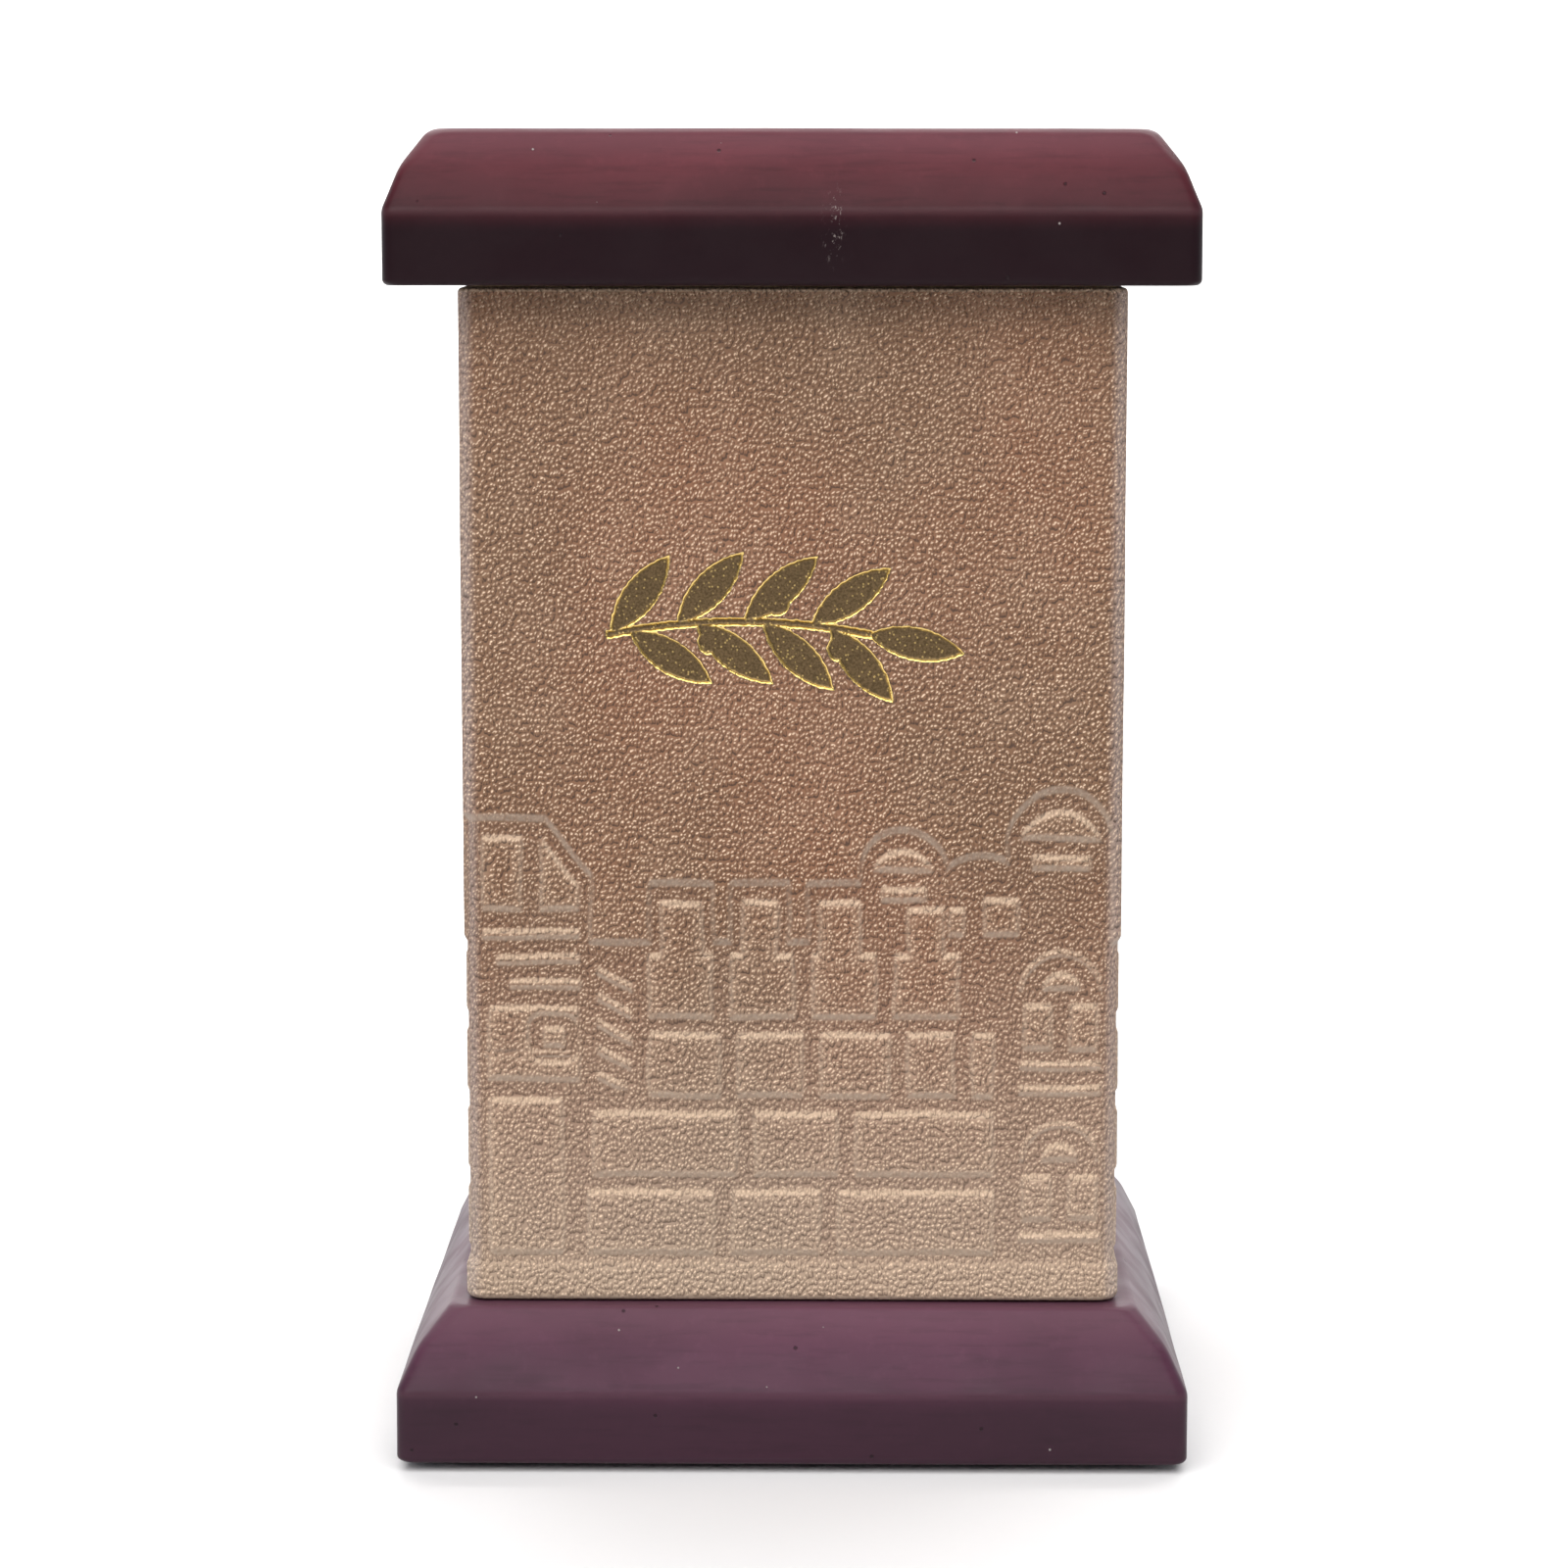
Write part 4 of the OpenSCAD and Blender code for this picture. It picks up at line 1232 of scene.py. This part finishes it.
class DONATION_OT_stage(bpy.types.Operator):
    """Camera, floor sweep and soft light"""

    bl_idname = "donation.stage"
    bl_label = "Stage"

    def execute(self, context):
        _, _, stage = settings()
        camera_data = bpy.data.cameras.new("camera")
        camera_data.lens = stage.focal
        camera_data.sensor_width = 36
        camera_data.clip_start = 0.01
        camera = bpy.data.objects.new("camera", camera_data)
        context.scene.collection.objects.link(camera)
        camera.location = (stage.aside, BASE_LOW.y - stage.distance, stage.height)
        camera.rotation_euler = Euler((pi / 2 - stage.pitch, 0, stage.yaw))
        context.scene.camera = camera
        context.scene.view_settings.view_transform = "Standard"

        floor = self.sweep(stage)
        self.lamp(context, "key_softbox", (-0.12, -0.80, 1.22), (0, 0, 0.08), (2.3, 1.4), 25)
        self.lamp(context, "low_softbox", (-0.25, -1.45, 0.80), (0, 0, 0.08), (1.6, 0.55), 9)
        self.lamp(context, "rim_softbox", (0.1, 0.75, 1.3), (0, 0, 0.1), (1.6, 0.6), 8)
        self.lamp(context, "wall_wash", (0, 1.0, 1.9), (0, 2.4, 0.75), (3.6, 0.7), 90)
        self.sky(context)
        return {"FINISHED"}

    def sweep(self, stage):
        """A floor that curves up behind: a flat run, a quarter circle of radius bend and a wall."""
        near, far, bend, side, wall = -2.5, 1.6, 0.8, 2.4, 1.2
        turn = np.linspace(0, pi / 2, 17)
        run = np.linspace(near, far, 9)[:-1]
        y = np.concatenate([run, far + bend * np.sin(turn), [far + bend]])[:, None]
        z = np.concatenate([0 * run, bend * (1 - np.cos(turn)), [bend + wall]])[:, None]
        x = np.linspace(-side, side, 9)[None, :]
        grid = np.stack(np.broadcast_arrays(x, y, z), -1)
        floor = make_piece("studio_floor", grid.reshape(-1, 3), grid_quads(len(y), 9))
        wear(floor, matte_floor("studio_paper", stage.floor_colour[:]))
        return floor

    def lamp(self, context, name, place, aim, size, power):
        """A soft rectangular lamp at place, turned towards aim."""
        data = bpy.data.lights.new(name, "AREA")
        data.shape = "RECTANGLE"
        data.size, data.size_y = size
        data.energy = power
        data.color = (1, 0.985, 0.965)
        lamp = bpy.data.objects.new(name, data)
        lamp.location = place
        lamp.rotation_euler = (Vector(aim) - Vector(place)).to_track_quat("-Z", "Y").to_euler()
        context.scene.collection.objects.link(lamp)

    def sky(self, context):
        """Dim air in front and overhead, white walls beside and behind near the horizon."""
        world = bpy.data.worlds.new("studio_air")
        world.use_nodes = True
        tree = world.node_tree
        background = tree.nodes["Background"]
        background.inputs["Color"].default_value = (0.88, 0.92, 1, 1)
        direction = tree.nodes.new("ShaderNodeTexCoord").outputs["Generated"]
        parts = tree.nodes.new("ShaderNodeSeparateXYZ")
        tree.links.new(direction, parts.inputs[0])
        beside = tree.nodes.new("ShaderNodeMapRange")
        beside.interpolation_type = "SMOOTHSTEP"
        level = tree.nodes.new("ShaderNodeMapRange")
        level.interpolation_type = "SMOOTHSTEP"
        for node, letter, low, high, at_low, at_high in (
            (beside, "Y", -0.45, -0.05, 0.0, 1.0),
            (level, "Z", 0.12, 0.62, 1.05, 0.0),
        ):
            tree.links.new(parts.outputs[letter], node.inputs["Value"])
            for key, number in zip(
                ("From Min", "From Max", "To Min", "To Max"), (low, high, at_low, at_high)
            ):
                node.inputs[key].default_value = number
        wall = tree.nodes.new("ShaderNodeMath")
        wall.operation = "MULTIPLY_ADD"
        tree.links.new(beside.outputs["Result"], wall.inputs[0])
        tree.links.new(level.outputs["Result"], wall.inputs[1])
        wall.inputs[2].default_value = 0.14
        tree.links.new(wall.outputs[0], background.inputs["Strength"])
        context.scene.world = world


class DONATION_OT_boards(bpy.types.Operator):
    """The lacquered lid and base"""

    bl_idname = "donation.boards"
    bl_label = "Lid and base"

    def execute(self, context):
        boards, _, _ = settings()
        lid = board_from_rings("lid_board", lid_rings(boards), boards.warp, 3)
        base = board_from_rings("base_board", base_rings(boards), boards.warp, 17)
        scuff_place = (4.6 * MM, LID_LOW.y, LID_LOW.z + 6.5 * MM)
        wear(
            lid,
            lacquered_wood(
                "lid_lacquer",
                boards.lid_colour[:],
                boards.dark_colour[:],
                1,
                LID_LOW.z + boards.lid_edge,
                0.97,
                LID_HIGH.z,
                (scuff_place, 5.5 * MM),
            ),
        )
        edge = BASE_LOW.z + boards.base_edge
        colours = boards.base_colour[:], boards.base_shade[:]
        wear(base, lacquered_wood("base_lacquer", *colours, 5, edge, 0.6, BASE_HIGH.z))
        for piece, node, slot in (
            (lid, "lid", "lacquered_lid"),
            (base, "base", "lacquered_base"),
        ):
            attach(piece, "box")
            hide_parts(node)
        return {"FINISHED"}


class DONATION_OT_leather(bpy.types.Operator):
    """The embossed leather, in four pieces that meet edge to edge"""

    bl_idname = "donation.leather"
    bl_label = "Leather"

    def execute(self, context):
        _, leather, _ = settings()
        body = Body(leather)
        low, high = LEATHER_LOW.z - FOOT_DROP, LEATHER_HIGH.z
        split = low + 60 * MM
        turn = body.side_start + 2 * MM
        fine, coarse = 0.27 * MM, 0.9 * MM
        arc = 0.3 * MM
        face = [(-turn, arc), (-body.front_end, fine), (body.front_end, arc), (turn, 1)]
        upper_s = [
            (-turn, arc), (-body.front_end, coarse), (FOIL_LOW.x - 1 * MM, 0.125 * MM),
            (FOIL_HIGH.x + 1 * MM, coarse), (body.front_end, arc), (turn, 1),
        ]
        lower_z = [(low, 0.1 * MM), (low + 1.4 * MM, 0.6 * MM), (low + 4.4 * MM, fine), (split, 1)]
        upper_z = [
            (split, coarse), (FOIL_LOW.z - 1 * MM, 0.125 * MM), (FOIL_HIGH.z + 1 * MM, coarse),
            (high - 1.2 * MM, 0.1 * MM), (high, 1),
        ]
        side_s = [
            (turn, 0.36 * MM), (body.side_end, arc), (body.back_start, 1.2 * MM), (body.seam, 1),
        ]
        side_z = [
            (low, 0.12 * MM), (low + 1.4 * MM, 0.6 * MM), (low + 4.4 * MM, 0.36 * MM),
            (split, 1.2 * MM), (high - 1.2 * MM, 0.12 * MM), (high, 1),
        ]
        side_lines = spaced(side_s)
        material = pebbled_leather("pebbled_leather", leather)
        for name, s_lines, z_lines in (
            ("leather_front_town", spaced(face), spaced(lower_z)),
            ("leather_front_sprig", spaced(upper_s), spaced(upper_z)),
            ("leather_right", side_lines, spaced(side_z)),
            ("leather_left", -side_lines[::-1], spaced(side_z)),
        ):
            piece = leather_piece(name, s_lines, z_lines, leather, body)
            wear(piece, material)
            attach(piece, "box")
            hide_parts("leather_wrap")
        return {"FINISHED"}


class DONATION_OT_foil(bpy.types.Operator):
    """The gold sprig"""

    bl_idname = "donation.foil"
    bl_label = "Gold foil"

    def execute(self, context):
        _, leather, _ = settings()
        foil = foil_piece("gold_sprig", leather, Body(leather))
        wear(foil, gold_leaf("gold_leaf", leather))
        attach(foil, "box")
        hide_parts("foil_sprig")
        return {"FINISHED"}


class DONATION_OT_inside(bpy.types.Operator):
    """Finishes for the parts under the leather and under the base"""

    bl_idname = "donation.inside"
    bl_label = "Core, hatch and feet"

    def execute(self, context):
        board = fibreboard("panel_board")
        upright = plain_timber("post_timber", (0.62, 0.44, 0.26), (0.48, 0.31, 0.16), (1, 1, 0.08))
        beech = plain_timber("rail_timber", (0.60, 0.40, 0.22), (0.45, 0.27, 0.13))
        ply = plain_timber("hatch_timber", (0.66, 0.48, 0.29), (0.52, 0.35, 0.19))
        brass = turned_metal("screw_brass", (0.72, 0.52, 0.22), 0.28)
        steel = turned_metal("screw_steel", (0.56, 0.56, 0.55), 0.3)
        felt = pressed_felt("pad_felt")
        finishes = {
            "front_panel": board,
            "back_panel": board,
            "left_panel": board,
            "right_panel": board,
            "hatch": ply,
            "hatch_rail_left": beech,
            "hatch_rail_right": beech,
            "rail_screws": brass,
            "base_screws": steel,
            "lid_dowels": upright,
        }
        for end in ("front", "back"):
            for side in ("left", "right"):
                finishes[f"corner_post_{end}_{side}"] = upright
                finishes[f"felt_pad_{end}_{side}"] = felt
        for node, material in finishes.items():
            wear(frame["nodes"][node], material)
        return {"FINISHED"}


class DONATION_PT_panel(bpy.types.Panel):
    """Sizes, colours and the pieces that can be made"""

    bl_idname = "DONATION_PT_panel"
    bl_label = "Donation box"
    bl_space_type = "VIEW_3D"
    bl_region_type = "UI"
    bl_category = "Donation box"

    def draw(self, context):
        for group in settings():
            column = self.layout.column(align=True)
            for name in group.__annotations__:
                column.prop(group, name)
        for operator in MAKERS:
            self.layout.operator(operator.bl_idname)


MAKERS = (
    DONATION_OT_stage,
    DONATION_OT_boards,
    DONATION_OT_leather,
    DONATION_OT_foil,
    DONATION_OT_inside,
)
GROUPS = (
    ("box_boards", BoardSettings),
    ("box_leather", LeatherSettings),
    ("box_stage", StageSettings),
)


def register():
    for name, group in GROUPS:
        bpy.utils.register_class(group)
        setattr(bpy.types.Scene, name, PointerProperty(type=group))
    for cls in (*MAKERS, DONATION_PT_panel):
        bpy.utils.register_class(cls)


def unregister():
    for cls in (DONATION_PT_panel, *reversed(MAKERS)):
        bpy.utils.unregister_class(cls)
    for name, group in reversed(GROUPS):
        delattr(bpy.types.Scene, name)
        bpy.utils.unregister_class(group)


def main():
    register()
    for operator in MAKERS:
        family, action = operator.bl_idname.split(".")
        getattr(getattr(bpy.ops, family), action)()


if __name__ == "__main__":
    main()
